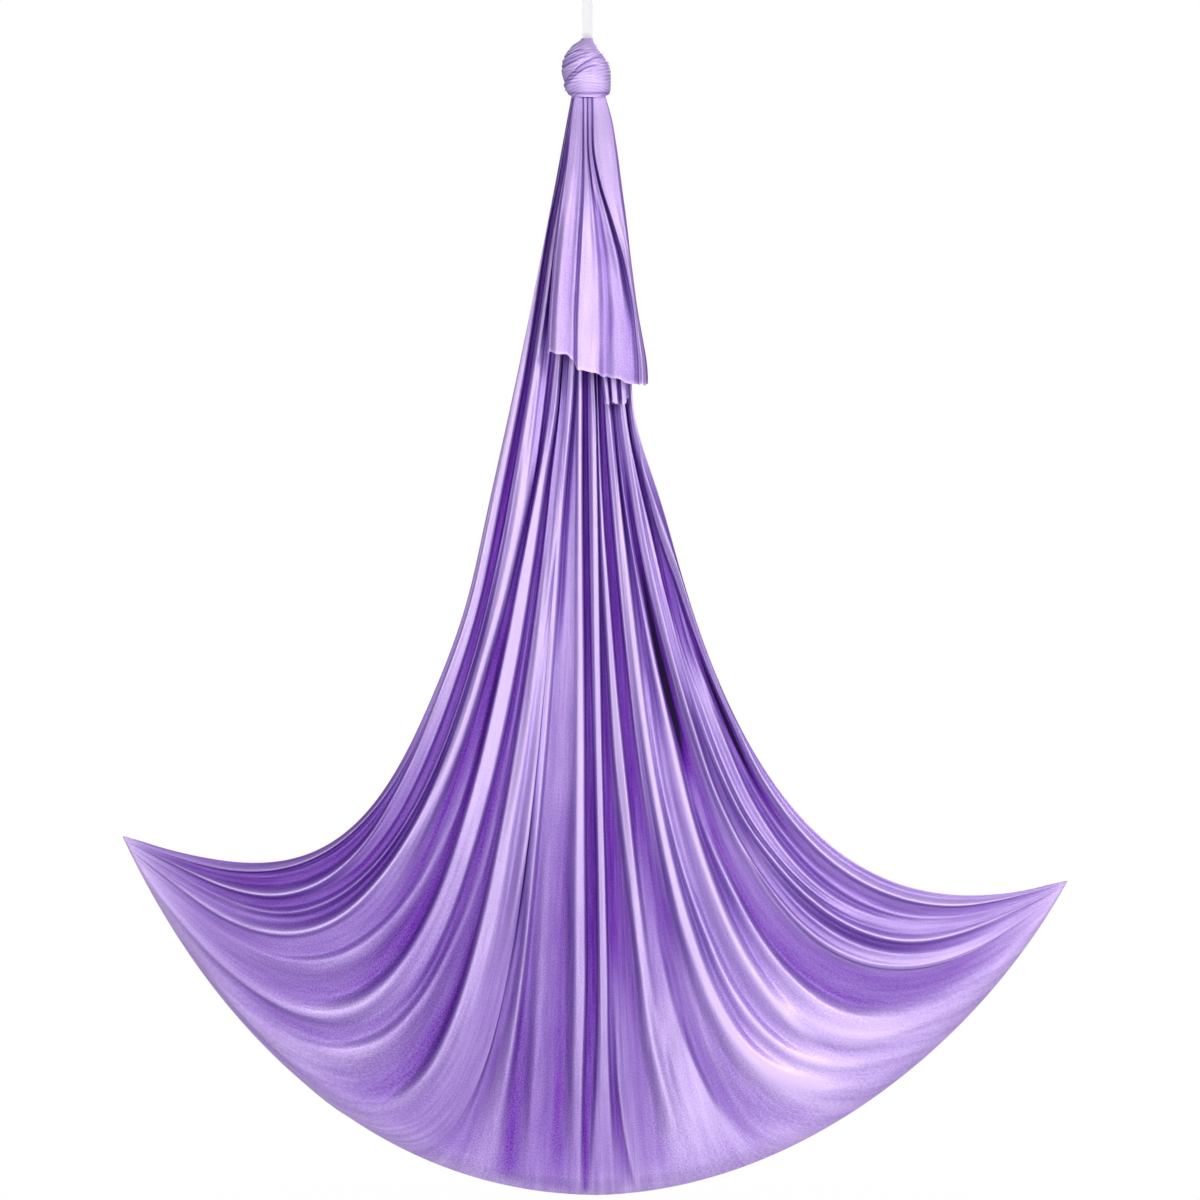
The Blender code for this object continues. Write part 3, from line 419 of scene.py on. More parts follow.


# Crests and valleys of the front panel from the left selvedge to the right one, in hundredths: each
# row repeats share down the fold lines, fold line, and height from 0 in a valley to 100 on a crest
# The heights also paint the cloth's colour: painted shade in the valleys, painted highlight on the crests, and heights
# below 0 paint near-black creases that the shape doesn't follow
frontFolds = (
    (0,0,60, 20,0,85, 35,0,60, 50,0,40, 80,0,50, 100,0,30),
    (0,5,80, 30,20,85, 50,40,50, 60,45,50, 66,50,60, 70,42,80, 75,29,90, 80,32,95, 85,42,90, 90,52,80, 100,50,60),
    (0,8,80, 30,30,90, 50,50,60, 60,50,50, 70,53,35, 75,46,20, 80,46,10, 85,54,20, 90,60,40, 100,60,40),
    (0,10,80, 30,38,92, 50,58,80, 60,55,65, 70,60,40, 75,60,40, 80,58,40, 85,66,40, 90,70,40, 100,65,40),
    (0,12,80, 30,40,93, 50,60,90, 60,58,75, 70,68,45, 74,80,0, 80,80,0, 85,82,5, 90,85,15, 95,75,10, 100,70,40),
    (0,35,50, 8,40,50, 13,20,80, 20,40,95, 25,60,100, 30,66,98, 40,72,94, 50,66,86, 60,66,78, 70,82,72, 75,100,90,
     80,113,100, 85,119,100, 90,112,100, 95,95,90, 100,80,70),
    (0,60,50, 8,65,50, 13,30,75, 20,58,90, 25,78,95, 30,88,92, 40,100,82, 50,97,74, 60,93,64, 70,98,60, 80,118,80,
     85,122,80, 90,117,80, 100,85,60),
    (0,75,50, 8,75,45, 13,38,55, 20,68,60, 25,86,65, 30,96,70, 40,108,65, 50,120,65, 60,125,60, 70,130,50, 75,130,50,
     80,128,45, 85,130,30, 90,125,30, 100,90,40),
    (0,90,25, 8,92,12, 13,52,12, 20,88,0, 25,98,0, 30,112,-6, 40,124,-8, 50,138,-8, 60,138,0, 70,141,5, 75,140,15,
     80,140,25, 85,138,10, 90,133,25, 100,100,35),
    (0,165,20, 5,170,8, 10,136,5, 14,116,2, 20,130,0, 30,148,-6, 40,164,-3, 45,166,10, 50,166,10, 60,162,10,
     70,152,10, 75,147,20, 80,146,35, 85,146,30, 90,140,40, 100,110,40),
    (0,175,25, 5,178,20, 10,142,20, 14,122,15, 20,136,15, 30,154,30, 40,172,25, 45,174,35, 50,177,35, 60,173,40,
     70,160,60, 75,155,75, 80,154,80, 85,155,75, 90,147,65, 95,135,60, 100,120,50),
    (0,185,35, 5,188,45, 10,148,55, 14,128,45, 20,142,42, 30,160,40, 40,180,30, 50,186,5, 60,182,0, 70,170,0,
     75,168,5, 80,170,10, 83,170,35, 90,165,45, 100,140,45),
    (0,200,50, 5,206,65, 10,160,65, 14,160,50, 20,175,75, 25,186,90, 30,186,88, 35,192,65, 40,198,55, 50,197,60,
     60,189,85, 70,183,100, 75,182,100, 80,187,100, 85,193,95, 90,195,90, 95,182,90, 100,170,70),
    (0,230,45, 5,224,40, 10,172,65, 14,185,50, 20,195,85, 25,200,85, 30,208,80, 35,222,95, 40,225,92, 45,220,92,
     50,210,100, 60,203,100, 70,195,85, 75,195,75, 80,198,65, 90,205,55, 100,190,50),
    (0,250,30, 5,238,5, 8,218,-20, 11,190,-10, 14,200,30, 17,212,5, 20,208,10, 23,212,65, 25,220,95, 30,230,95,
     35,245,92, 40,240,90, 45,233,88, 50,222,90, 60,215,85, 70,205,70, 80,215,60, 90,220,55, 100,220,50),
    (0,260,25, 5,248,20, 11,215,10, 17,225,-10, 20,222,0, 25,240,50, 30,250,55, 35,250,85, 40,246,60, 50,230,30,
     60,220,30, 65,217,35, 70,220,45, 75,222,50, 80,224,60, 100,225,55),
    (0,268,20, 11,255,30, 20,260,50, 30,272,50, 40,253,0, 50,238,0, 60,227,0, 70,230,15, 75,227,50, 80,226,60,
     90,228,50, 100,230,50),
    (0,275,20, 30,280,0, 40,260,0, 50,255,0, 57,258,10, 60,257,30, 65,250,45, 70,242,60, 75,234,80, 80,229,85,
     85,229,70, 90,233,60, 100,235,50),
    (0,282,10, 20,295,10, 30,285,0, 40,266,-5, 50,264,-35, 55,264,-45, 60,264,-20, 70,270,10, 73,270,15, 77,270,45,
     80,270,50, 100,270,50),
    (0,290,80, 20,320,80, 25,320,60, 30,305,95, 35,285,95, 40,277,92, 45,274,84, 50,272,78, 60,275,78, 70,282,72,
     75,286,95, 80,293,95, 85,298,90, 90,299,85, 95,296,80, 100,295,70),
    (0,300,90, 20,350,100, 25,350,100, 30,325,98, 35,320,92, 40,318,92, 50,312,88, 60,310,72, 70,312,62, 80,310,60,
     85,308,45, 90,310,40, 100,310,50),
    (0,312,30, 20,365,50, 25,375,30, 30,342,20, 35,338,0, 40,330,0, 50,324,0, 60,320,0, 70,320,10, 74,322,40,
     80,320,60, 90,320,45, 100,320,50),
    (0,318,10, 20,370,10, 25,379,0, 30,350,0, 40,340,5, 50,340,25, 55,335,15, 60,343,25, 65,335,40, 70,328,60,
     75,325,85, 80,326,95, 85,330,90, 90,338,90, 93,348,100, 100,350,70),
    (0,324,0, 20,375,10, 25,386,0, 30,358,0, 40,353,0, 50,350,0, 60,350,0, 70,356,5, 75,360,10, 80,366,20, 84,370,45,
     90,362,85, 100,360,60),
    (0,330,40, 20,390,40, 25,392,40, 30,372,45, 40,365,50, 45,362,50, 50,358,55, 60,360,80, 70,365,90, 80,375,90,
     85,377,75, 90,378,60, 100,380,50),
    (0,360,40, 20,420,20, 30,410,45, 35,410,55, 40,390,75, 45,390,90, 50,392,95, 60,382,90, 70,390,85, 80,395,70,
     90,400,50, 100,400,50),
    (0,420,50, 20,460,10, 30,470,45, 35,460,85, 40,450,100, 45,435,90, 50,420,65, 60,408,60, 70,423,70, 80,430,70,
     90,440,65, 100,440,55),
    (0,480,70, 20,500,10, 27,510,30, 30,520,55, 35,510,95, 40,510,100, 44,510,60, 47,490,65, 50,480,80, 60,480,95,
     70,480,85, 80,480,70, 90,490,70, 100,490,55),
    (0,530,80, 20,550,10, 30,560,50, 35,560,100, 40,560,100, 44,560,65, 50,550,80, 60,550,95, 67,540,90, 70,540,75,
     80,530,75, 90,530,65, 100,520,55),
    (0,560,80, 30,580,70, 40,580,95, 50,580,85, 60,580,95, 70,565,80, 78,575,60, 80,572,55, 85,565,50, 90,550,45,
     95,542,45, 100,535,50),
    (0,590,70, 20,620,50, 25,625,100, 30,615,100, 35,603,100, 40,598,85, 45,600,80, 50,600,95, 60,598,95, 70,593,90,
     80,590,85, 90,585,80, 95,580,75, 100,580,60),
    (0,610,20, 25,643,10, 30,635,5, 35,623,5, 40,618,10, 45,618,10, 48,615,20, 52,610,40, 60,606,45, 70,603,50,
     80,600,40, 85,599,15, 90,599,0, 95,598,0, 100,597,5),
    (0,620,40, 25,650,30, 30,645,30, 40,640,40, 50,635,42, 60,630,45, 65,620,55, 70,620,62, 80,620,68, 90,620,65,
     100,620,55),
    (0,630,50, 30,652,40, 40,660,42, 50,665,42, 60,665,42, 70,655,30, 80,658,25, 90,660,15, 95,660,20, 100,660,40),
    (0,640,100, 25,658,100, 30,663,100, 40,672,100, 50,680,100, 60,682,95, 70,683,90, 80,685,85, 90,684,75,
     100,685,60),
    (0,655,100, 25,674,100, 30,677,100, 50,695,100, 60,700,95, 70,703,90, 80,705,85, 90,698,80, 100,696,75),
    (0,665,0, 25,685,0, 30,688,0, 50,702,0, 60,707,0, 70,710,0, 80,710,0, 90,703,0, 95,700,0, 100,699,0),
    (0,690,0, 25,712,0, 30,714,0, 40,720,0, 50,725,0, 60,733,0, 70,737,0, 80,733,5, 85,728,10, 90,717,10, 95,706,5,
     100,702,5),
    (0,705,30, 25,720,25, 30,722,40, 50,738,50, 60,742,50, 70,745,65, 80,742,60, 90,730,65, 100,710,62),
    (0,730,90, 25,750,50, 30,760,95, 40,757,95, 50,752,90, 60,753,90, 70,753,90, 80,750,85, 90,745,75, 100,740,60),
    (0,755,100, 25,775,50, 28,783,100, 30,784,100, 40,784,100, 50,780,95, 60,780,95, 70,782,95, 80,780,85, 85,773,80,
     90,770,75, 100,770,60),
    (0,770,0, 25,790,0, 30,795,35, 35,794,25, 40,793,10, 50,791,0, 60,789,0, 70,789,0, 77,789,5, 80,786,20, 85,781,20,
     90,785,10, 95,800,5, 100,850,15),
    (0,775,0, 25,795,0, 30,797,40, 40,795,15, 50,800,0, 60,805,0, 70,815,0, 78,815,5, 82,815,40, 86,805,60, 90,805,70,
     95,820,70, 100,862,60),
    (0,780,0, 25,800,0, 30,800,45, 40,798,20, 50,805,0, 60,815,0, 70,835,0, 80,850,10, 84,845,40, 90,840,50,
     100,880,50),
    (0,785,10, 30,803,60, 35,802,60, 40,804,50, 45,806,30, 50,814,10, 60,832,10, 75,880,10, 80,888,20, 85,885,30,
     90,895,30, 95,900,40, 100,900,45),
    (0,790,60, 30,806,80, 35,810,90, 40,815,90, 45,830,95, 50,840,90, 60,855,85, 65,875,85, 70,890,90, 75,895,90,
     80,902,90, 85,908,90, 90,917,85, 95,925,80, 100,930,60),
    (0,800,60, 30,810,60, 35,818,80, 40,830,90, 45,848,100, 50,863,100, 60,890,100, 65,900,100, 70,906,95, 75,910,90,
     80,913,85, 85,920,75, 90,927,60, 95,936,70, 100,940,60),
    (0,810,0, 30,820,0, 40,840,0, 45,860,0, 50,875,0, 60,898,0, 65,905,0, 70,912,30, 75,920,55, 80,925,60, 85,930,70,
     90,936,75, 95,945,80, 100,950,60),
    (0,825,0, 30,842,0, 40,866,0, 50,895,0, 60,915,0, 70,930,15, 75,936,40, 80,942,60, 85,950,75, 90,970,85,
     95,975,80, 100,975,60),
    (0,840,0, 30,860,0, 35,872,0, 40,888,0, 45,900,0, 50,915,0, 60,935,5, 65,945,5, 70,950,0, 75,955,5, 80,963,15,
     85,975,30, 90,985,30, 95,1000,40, 100,1000,50),
    (0,860,60, 30,875,70, 35,895,70, 40,908,75, 45,920,70, 50,930,55, 60,950,45, 65,965,40, 68,975,30, 70,975,15,
     75,980,5, 78,980,20, 80,985,35, 85,995,35, 90,1000,30, 95,1010,50, 100,1010,50),
    (0,880,100, 28,895,100, 30,910,100, 40,950,100, 45,960,90, 50,970,75, 60,985,50, 65,995,45, 70,1000,20,
     75,1000,10, 80,1010,40, 90,1030,50, 100,1030,50),
    (0,900,60, 28,950,0, 30,960,30, 33,975,70, 40,1000,100, 45,1003,100, 50,1005,100, 60,1014,100, 70,1024,95,
     80,1038,90, 85,1048,90, 90,1060,100, 95,1080,90, 100,1080,60),
    (0,920,30, 28,990,0, 32,990,40, 35,995,80, 40,1010,100, 45,1020,100, 55,1026,100, 60,1030,100, 70,1040,95,
     75,1045,90, 80,1050,90, 85,1056,90, 90,1070,100, 100,1090,60),
    (0,940,0, 28,1000,0, 35,1012,0, 40,1025,0, 45,1032,5, 50,1038,25, 55,1033,50, 60,1036,55, 65,1042,40, 70,1048,35,
     75,1055,35, 80,1058,50, 85,1063,60, 90,1078,85, 100,1100,60),
    (0,950,0, 30,1005,10, 35,1020,15, 40,1038,10, 45,1048,10, 50,1050,10, 55,1045,55, 60,1043,80, 65,1050,75,
     70,1058,80, 75,1068,85, 80,1072,90, 85,1080,90, 90,1088,100, 95,1100,80, 100,1110,60),
    (0,960,10, 30,1015,10, 35,1030,40, 40,1048,40, 45,1060,35, 50,1062,10, 55,1065,20, 60,1062,45, 70,1072,50,
     80,1082,50, 85,1088,60, 90,1096,90, 100,1120,60),
    (0,970,40, 30,1025,30, 35,1035,45, 40,1052,50, 45,1066,55, 50,1080,75, 55,1093,85, 60,1097,95, 65,1100,95,
     70,1106,95, 75,1110,95, 80,1112,95, 85,1110,90, 89,1104,60, 95,1115,70, 100,1130,60),
    (0,980,20, 30,1030,20, 35,1045,20, 40,1062,20, 45,1076,40, 50,1090,70, 55,1105,85, 60,1110,90, 70,1114,90,
     80,1115,90, 87,1112,80, 90,1114,80, 100,1140,60),
    (0,990,0, 30,1038,30, 35,1060,5, 40,1078,-15, 45,1098,-55, 50,1113,-80, 55,1125,-70, 58,1130,-30, 60,1120,15,
     65,1120,10, 70,1125,20, 75,1125,50, 80,1125,65, 85,1125,85, 90,1125,95, 100,1150,60),
    (0,1000,10, 30,1045,40, 35,1070,20, 40,1088,5, 45,1106,-35, 50,1123,-60, 55,1136,-50, 58,1134,-20, 61,1127,20,
     65,1135,50, 70,1145,75, 75,1148,85, 80,1147,85, 85,1142,85, 90,1140,80, 100,1160,60),
    (0,1010,30, 30,1055,50, 35,1075,40, 40,1095,50, 45,1125,25, 50,1145,10, 55,1155,5, 60,1160,10, 65,1155,5,
     70,1158,10, 75,1155,15, 80,1158,15, 85,1160,15, 90,1170,25, 100,1200,50),
    (0,1020,80, 30,1070,80, 35,1090,60, 40,1115,60, 45,1135,50, 50,1160,40, 55,1172,25, 60,1182,35, 65,1180,30,
     70,1180,25, 80,1190,15, 90,1195,18, 95,1200,45, 100,1220,55),
    (0,1035,100, 25,1080,100, 30,1100,100, 35,1130,85, 40,1150,90, 45,1175,100, 55,1205,100, 60,1205,100, 65,1225,100,
     70,1275,100, 75,1288,100, 80,1295,95, 90,1300,90, 95,1300,80, 100,1300,60),
    (0,1060,70, 30,1110,90, 35,1150,60, 40,1167,65, 45,1195,65, 50,1210,50, 55,1228,20, 60,1230,25, 65,1260,40,
     70,1295,50, 75,1302,50, 80,1310,70, 90,1310,85, 100,1320,60),
    (0,1070,80, 30,1112,95, 35,1170,100, 40,1200,100, 45,1240,90, 50,1250,60, 55,1260,10, 60,1275,20, 65,1295,30,
     70,1310,45, 75,1315,50, 80,1320,70, 90,1325,75, 100,1330,60),
    (0,1072,70, 30,1114,90, 35,1174,95, 40,1220,95, 50,1280,60, 55,1290,25, 60,1300,15, 65,1310,15, 70,1320,50,
     75,1324,70, 80,1330,80, 90,1330,70, 100,1340,60),
    (0,1073,60, 30,1115,85, 35,1178,90, 40,1230,95, 50,1290,80, 55,1300,60, 60,1310,50, 65,1320,35, 70,1338,35,
     75,1345,25, 80,1348,15, 85,1350,15, 90,1356,20, 95,1370,40, 100,1380,50),
    (0,1075,60, 30,1116,80, 35,1182,90, 40,1242,95, 45,1295,95, 50,1305,100, 55,1322,100, 60,1328,95, 65,1337,95,
     70,1355,95, 75,1362,95, 80,1365,100, 85,1365,100, 90,1377,100, 95,1395,90, 100,1400,70),
    (0,1080,20, 30,1120,20, 35,1195,10, 45,1315,10, 50,1320,60, 55,1338,55, 60,1345,50, 65,1347,50, 70,1364,60,
     75,1370,50, 80,1374,50, 90,1390,60, 100,1410,60),
    (0,1085,10, 30,1125,10, 35,1200,0, 40,1265,0, 45,1325,0, 48,1325,40, 50,1335,70, 55,1360,80, 60,1357,90,
     65,1358,95, 70,1370,90, 75,1379,90, 80,1385,60, 90,1400,60, 100,1420,60),
    (0,1090,0, 30,1130,0, 35,1220,0, 40,1290,0, 45,1340,0, 50,1350,20, 55,1375,60, 60,1380,55, 65,1375,70, 70,1380,75,
     75,1385,60, 80,1390,60, 90,1410,50, 100,1430,50),
    (0,1100,0, 30,1135,5, 35,1260,5, 45,1380,5, 50,1380,10, 55,1400,60, 60,1408,75, 65,1397,90, 70,1396,90,
     75,1394,85, 80,1400,60, 90,1415,50, 100,1435,50),
    (0,1110,10, 30,1140,10, 35,1290,5, 40,1335,10, 45,1410,5, 50,1400,35, 55,1425,50, 60,1425,30, 65,1410,10,
     70,1410,10, 75,1410,15, 80,1410,25, 85,1414,50, 90,1420,55, 100,1440,50),
    (0,1120,30, 30,1150,30, 35,1300,20, 40,1345,20, 45,1415,10, 50,1420,25, 55,1433,10, 60,1432,10, 65,1427,30,
     70,1424,45, 75,1421,50, 80,1420,60, 85,1421,70, 90,1425,60, 100,1445,50),
    (0,1130,20, 30,1155,20, 35,1305,15, 40,1360,0, 45,1420,0, 50,1435,0, 52,1442,-10, 55,1447,-50, 60,1447,-75,
     65,1440,-30, 70,1438,10, 75,1438,25, 80,1440,30, 90,1440,30, 95,1445,35, 100,1455,50),
    (0,1160,50, 30,1180,50, 35,1330,50, 40,1380,50, 45,1435,45, 50,1455,45, 60,1470,45, 65,1456,50, 70,1452,40,
     80,1450,35, 90,1450,35, 100,1460,50),
    (0,1220,90, 30,1230,60, 35,1390,100, 40,1430,100, 45,1480,100, 50,1490,80, 60,1490,50, 65,1470,90, 75,1462,100,
     85,1460,100, 90,1458,100, 95,1470,90, 100,1470,70),
    (0,1400,60, 25,1400,90, 30,1400,100, 35,1415,50, 40,1465,40, 45,1490,60, 60,1492,60, 70,1482,70, 85,1480,60,
     100,1490,50),
    (0,1500,60, 30,1500,100, 40,1500,90, 80,1500,90, 90,1500,60, 100,1500,40),
)


def bezier(a, b, c, d, t):
    t = np.asarray(t)[..., None]
    return (1 - t) ** 3 * a + 3 * (1 - t) ** 2 * t * b + 3 * (1 - t) * t * t * c + t ** 3 * d


def foldPoint(place):
    # A point of the bottom fold as (x, drop), for a place from -1, the left tip, to 1
    place = np.asarray(place, float)
    lowest = np.array((cloth["lowest"], cloth["drop"]))
    halves = []
    for (reach, tipDrop), ((nearTip, belowTip), (nearLow, lowDrop)), along in (
            (cloth["left"], ((0.831, 0.470), (0.499, 0.999)), 1 + place),
            (cloth["right"], ((0.832, 0.475), (0.461, 0.995)), 1 - place)):
        first = np.array((nearTip * reach, tipDrop + belowTip * (cloth["drop"] - tipDrop)))
        second = np.array((nearLow * reach, lowDrop * cloth["drop"]))
        halves.append(bezier(np.array((reach, tipDrop)), first, second, lowest, np.clip(along, 0, 1)))
    return np.where(place[..., None] < 0, halves[0], halves[1])


def lineControls(index):
    # Control values of the fold line at a fractional index, smooth from line to line
    last = len(foldLines) - 1
    base = int(min(max(math.floor(index), 0), last - 1))
    t = index - base
    before, start, stop, after = (foldLines[min(max(base + k, 0), last)] for k in (-1, 0, 1, 2))
    intoStop, outOfStart = (stop - before) / 2, (after - start) / 2
    values = ((2 * t ** 3 - 3 * t * t + 1) * start + (t ** 3 - 2 * t * t + t) * intoStop
              + (3 * t * t - 2 * t ** 3) * stop + (t ** 3 - t * t) * outOfStart)
    values[-1] = min(1.0, max(-1.0, values[-1]))
    return values


def foldLine(index, samples=240):
    neck, x1, drop1, x2, drop2, end = lineControls(index)
    start = np.array((neck * (cloth["neckLeft"] if neck < 0 else cloth["neckRight"]), 0.0))
    handles = []
    for x, drop in ((x1, drop1), (x2, drop2)):
        reach = -cloth["left"][0] if x < 0 else cloth["right"][0]
        handles.append(np.array((x * reach, drop * cloth["drop"])))
    points = bezier(start, *handles, foldPoint(end), np.linspace(0, 1, samples))
    along = np.concatenate(([0.0], np.cumsum(np.linalg.norm(np.diff(points, axis=0), axis=1))))
    return points, along


def foldDistance(points):
    # Distance of each (x, drop) to the bottom fold, and the unit way from the fold to it
    edge = foldPoint(np.linspace(-1, 1, 601))
    nearest = np.concatenate([((part[:, None, :] - edge[None]) ** 2).sum(axis=2).argmin(axis=1)
                              for part in np.array_split(points, 40)])
    tangent = np.gradient(edge, axis=0)[nearest]
    step = np.linalg.norm(tangent, axis=1)
    tangent /= step[:, None]
    way = points - edge[nearest]
    along = (way * tangent).sum(axis=1)
    way -= np.where(np.abs(along) < step, along, 0.0)[:, None] * tangent
    distance = np.linalg.norm(way, axis=1)
    inward = np.stack((tangent[:, 1], -tangent[:, 0]), axis=1)
    far = distance > 0.0005
    inward[far] = way[far] / distance[far, None]
    return distance, inward


def panelPlane():
    # Front-view places of the cloth's grid, with the share of each fold line
    indices = np.linspace(0, len(foldLines) - 1, cloth["columns"])
    plane, shares, lengths = [], [], []
    for index in indices:
        points, along = foldLine(index)
        for line, drop, shift, run in cloth["tucks"]:
            points[:, 0] += shift * ease(1 - abs(index - line) / 2.5) * np.exp(-((points[:, 1] - drop) / run) ** 2)
        roll = min(cloth["seatHalf"], along[-1] / 3)
        even = np.linspace(0.0, 1.0, cloth["rows"]) * (along[-1] - roll) / along[-1]
        turn = np.linspace(0.0, math.pi / 2, cloth["rollRows"] + 1)[1:]
        places = np.concatenate((even, 1.0 - roll * (1.0 - np.sin(turn)) / along[-1]))
        plane.append(np.stack([np.interp(places * along[-1], along, points[:, k]) for k in (0, 1)], axis=1))
        shares.append(places)
        lengths.append(along[-1])
    return indices, np.array(plane).transpose(1, 0, 2), np.array(shares).T, np.array(lengths)


def foldHeights(folds, indices, levels):
    # Height of the folds at each (level, fold line), smooth between the crests and valleys of a table
    knots = [np.array(fold).reshape(-1, 3).T / 100 for fold in folds]
    lines, heights = (smoothed([np.interp(levels, knot[0], knot[k]) for knot in knots], np.hanning(15)[1:-1])
                      for k in (1, 2))
    lines = np.maximum.accumulate(lines + 1e-4 * np.arange(len(lines))[:, None], axis=0)
    table = [through(indices, lines[:, r], heights[:, r]) for r in range(len(levels))]
    return smoothed(table, np.hanning(7)[1:-1])


def frontHeights(indices, shares):
    levels = np.linspace(0, 1, 240)
    table = foldHeights(frontFolds, indices, levels)
    rows = np.clip(shares * (len(levels) - 1), 0, len(levels) - 1.001)
    low = rows.astype(int)
    part = rows - low
    columns = np.arange(len(indices))[None, :]
    return table[low, columns] * (1 - part) + table[low + 1, columns] * part


def backHeights(indices, shares):
    # The back isn't in view: full pleats of uneven width, which open into wide swags
    u = indices[None, :] + 0.16 * ripple(shares * 5, indices[None, :] * 0.8, 7)
    pleats = wave(2.5 * u + 0.35 * np.sin(1.3 * u + 2.0))
    second = wave(4.4 * u + 0.6 * np.sin(2.1 * u))
    swags = wave(0.92 * u + 0.2 * np.sin(1.7 * u + 1.0))
    pull = ease((shares - cloth["back"][2]) / 0.33)
    folds = (0.78 * pleats + 0.22 * second) * (1 - pull) + (0.8 * swags ** 0.8 + 0.2 * pleats) * pull
    # Both selvedges lie flat
    edge = np.minimum(indices, indices[-1] - indices)[None, :]
    flat = (1 - ease((edge - 0.4) / 0.8)) * ease((shares - 0.3) / 0.2)
    return folds * (1 - flat) + 0.35 * flat


def panelSurface(side, indices, plane, shares, seed):
    # Points of one panel; side is -1 for the front and 1 for the back
    tone = frontHeights(indices, shares) if side < 0 else backHeights(indices, shares)
    # The shape stops at the valley; heights below 0 only paint near-black shade in the creases
    height = np.maximum(tone, 0)
    neckDepth, upperDepth, swagsFrom = cloth["front"] if side < 0 else cloth["back"]
    pull = ease((shares - swagsFrom) / 0.30)
    width = np.linalg.norm(np.gradient(plane, indices, axis=1), axis=2)
    upper = neckDepth + (upperDepth - neckDepth) * ease(shares / 0.15)
    lower = cloth["swagDepth"] * width / (width + cloth["swagHalfway"])
    depth = upper * (1 - pull) + lower * pull
    depth = depth * (1 + 0.10 * ripple(shares * 9, indices[None, :] * 1.3, seed + 3))
    crinkle = ripple(shares * 26, indices[None, :] * 5.5, seed + 11) * ripple(shares * 7, indices[None, :] * 2.1, seed)
    crinkle = crinkle * cloth["crinkle"] * ease((shares - 0.5) / 0.3)

    flat = plane.reshape(-1, 2)
    distance, inward = foldDistance(flat)
    opened = cloth["neckHalf"] + (cloth["seatHalf"] - cloth["neckHalf"]) * ease(flat[:, 1] / cloth["spreadDrop"])
    tips = np.array((cloth["left"], cloth["right"]))
    toTip = np.linalg.norm(flat[:, None, :] - tips[None], axis=2).min(axis=1)
    half = cloth["tipHalf"] + (opened - cloth["tipHalf"]) * ease(toTip / cloth["tipRun"])
    near = np.clip(distance / half, 0.0, 1.0)
    pillow = np.sqrt(1 - (1 - near) ** 2)
    kept, run = cloth["fade"]
    fade = rising(kept, distance / run) * np.clip(distance / 0.02, 0.0, 1.0)
    rise = ((depth * height ** (1 + 1.1 * pull) + crinkle).reshape(-1)) * fade
    sink = cloth["inset"] * ease((half - 0.004) / 0.02) * fade
    normal = np.stack((-inward[:, 0] * (1 - near), pillow, -inward[:, 1] * (1 - near)), axis=1)
    out = (cloth["skin"] + rise - sink)[:, None] * normal
    points = np.stack((flat[:, 0], half * pillow, flat[:, 1]), axis=1) + out
    kept, run = cloth["neckNarrow"]
    points[:, 1] = np.maximum(points[:, 1], 0.0) * rising(kept, flat[:, 1] / run)
    placed = np.stack((points[:, 0], side * points[:, 1], cloth["neckZ"] - points[:, 2]), axis=1)
    # The folds' painted shade and highlight run into the bottom fold at the middle and fade to a plain level before it
    # at the sides, and a painted highlight runs along the bottom fold
    middle = np.exp(-((indices - 7) / 1.8) ** 2)[None, :]
    shown = ease(distance.reshape(shares.shape) / (0.10 - 0.08 * middle))
    level, added, run = cloth["rimTone"]
    rimHighlight = added * np.exp(-distance / run).reshape(shares.shape)
    # Painted shade: the wide swags are painted darker between their crests, most at the left; higher up the slopes
    # between crest and valley are painted lighter, and the back's painted shade is lighter
    paintedSwagShade = ease((shares - 0.5) / 0.25) * (1 - 0.7 * ease((indices - 6) / 4))[None, :]
    tone = tone - 0.50 * paintedSwagShade * height * (1 - height ** 9) + 0.36 * (1 - pull) * height * (1 - height)
    if side > 0:
        tone = 0.15 + 0.85 * tone
    return placed.reshape(*shares.shape, 3), tone * shown + level * (1 - shown) + rimHighlight


def makePanels():
    indices, plane, shares, lengths = panelPlane()
    front, frontShading = panelSurface(-1, indices, plane, shares, 1)
    ways = np.gradient(plane, axis=1)
    ways /= np.linalg.norm(ways, axis=2)[..., None] + 1e-9
    inside = cloth["selvedgeInset"] * (ease(1 - indices / 1.2) - ease(1 - (indices[-1] - indices) / 1.2))
    inside = inside[None, :] * np.sin(math.pi * np.clip((shares - 0.25) / 0.73, 0, 1)) ** 0.7
    back, backShading = panelSurface(1, indices, plane + inside[..., None] * ways, shares, 2)
    points = np.concatenate((front, back[:-1][::-1]))
    pleat = np.concatenate((frontShading, backShading[:-1][::-1]))
    across = np.broadcast_to(indices / indices[-1] * cloth["width"], points.shape[:2])
    run = shares * cloth["panelLength"]
    along = np.concatenate((run, 2 * cloth["panelLength"] - run[:-1][::-1]))
    piece = gridObject("hammockCloth", points, across, along, pleat, clothSatin, necks=(0, -1))
    return piece, front, lengths


hammockCloth, frontSurface, foldLengths = makePanels()
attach(hammockCloth, "hammock")
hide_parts("front_panel", "back_panel")
panelArea = sum(face.area for face in hammockCloth.data.polygons)
panelFlat = 2 * cloth["width"] * cloth["panelLength"]
foldRun = foldPoint(np.linspace(-1, 1, 400))
foldLength = np.linalg.norm(np.diff(foldRun, axis=0), axis=1).sum()
print("panels made, share of the flat area", round(panelArea / panelFlat, 3), "bottom fold", round(foldLength, 3),
      "mean fold line", round(float(foldLengths.mean()), 3))


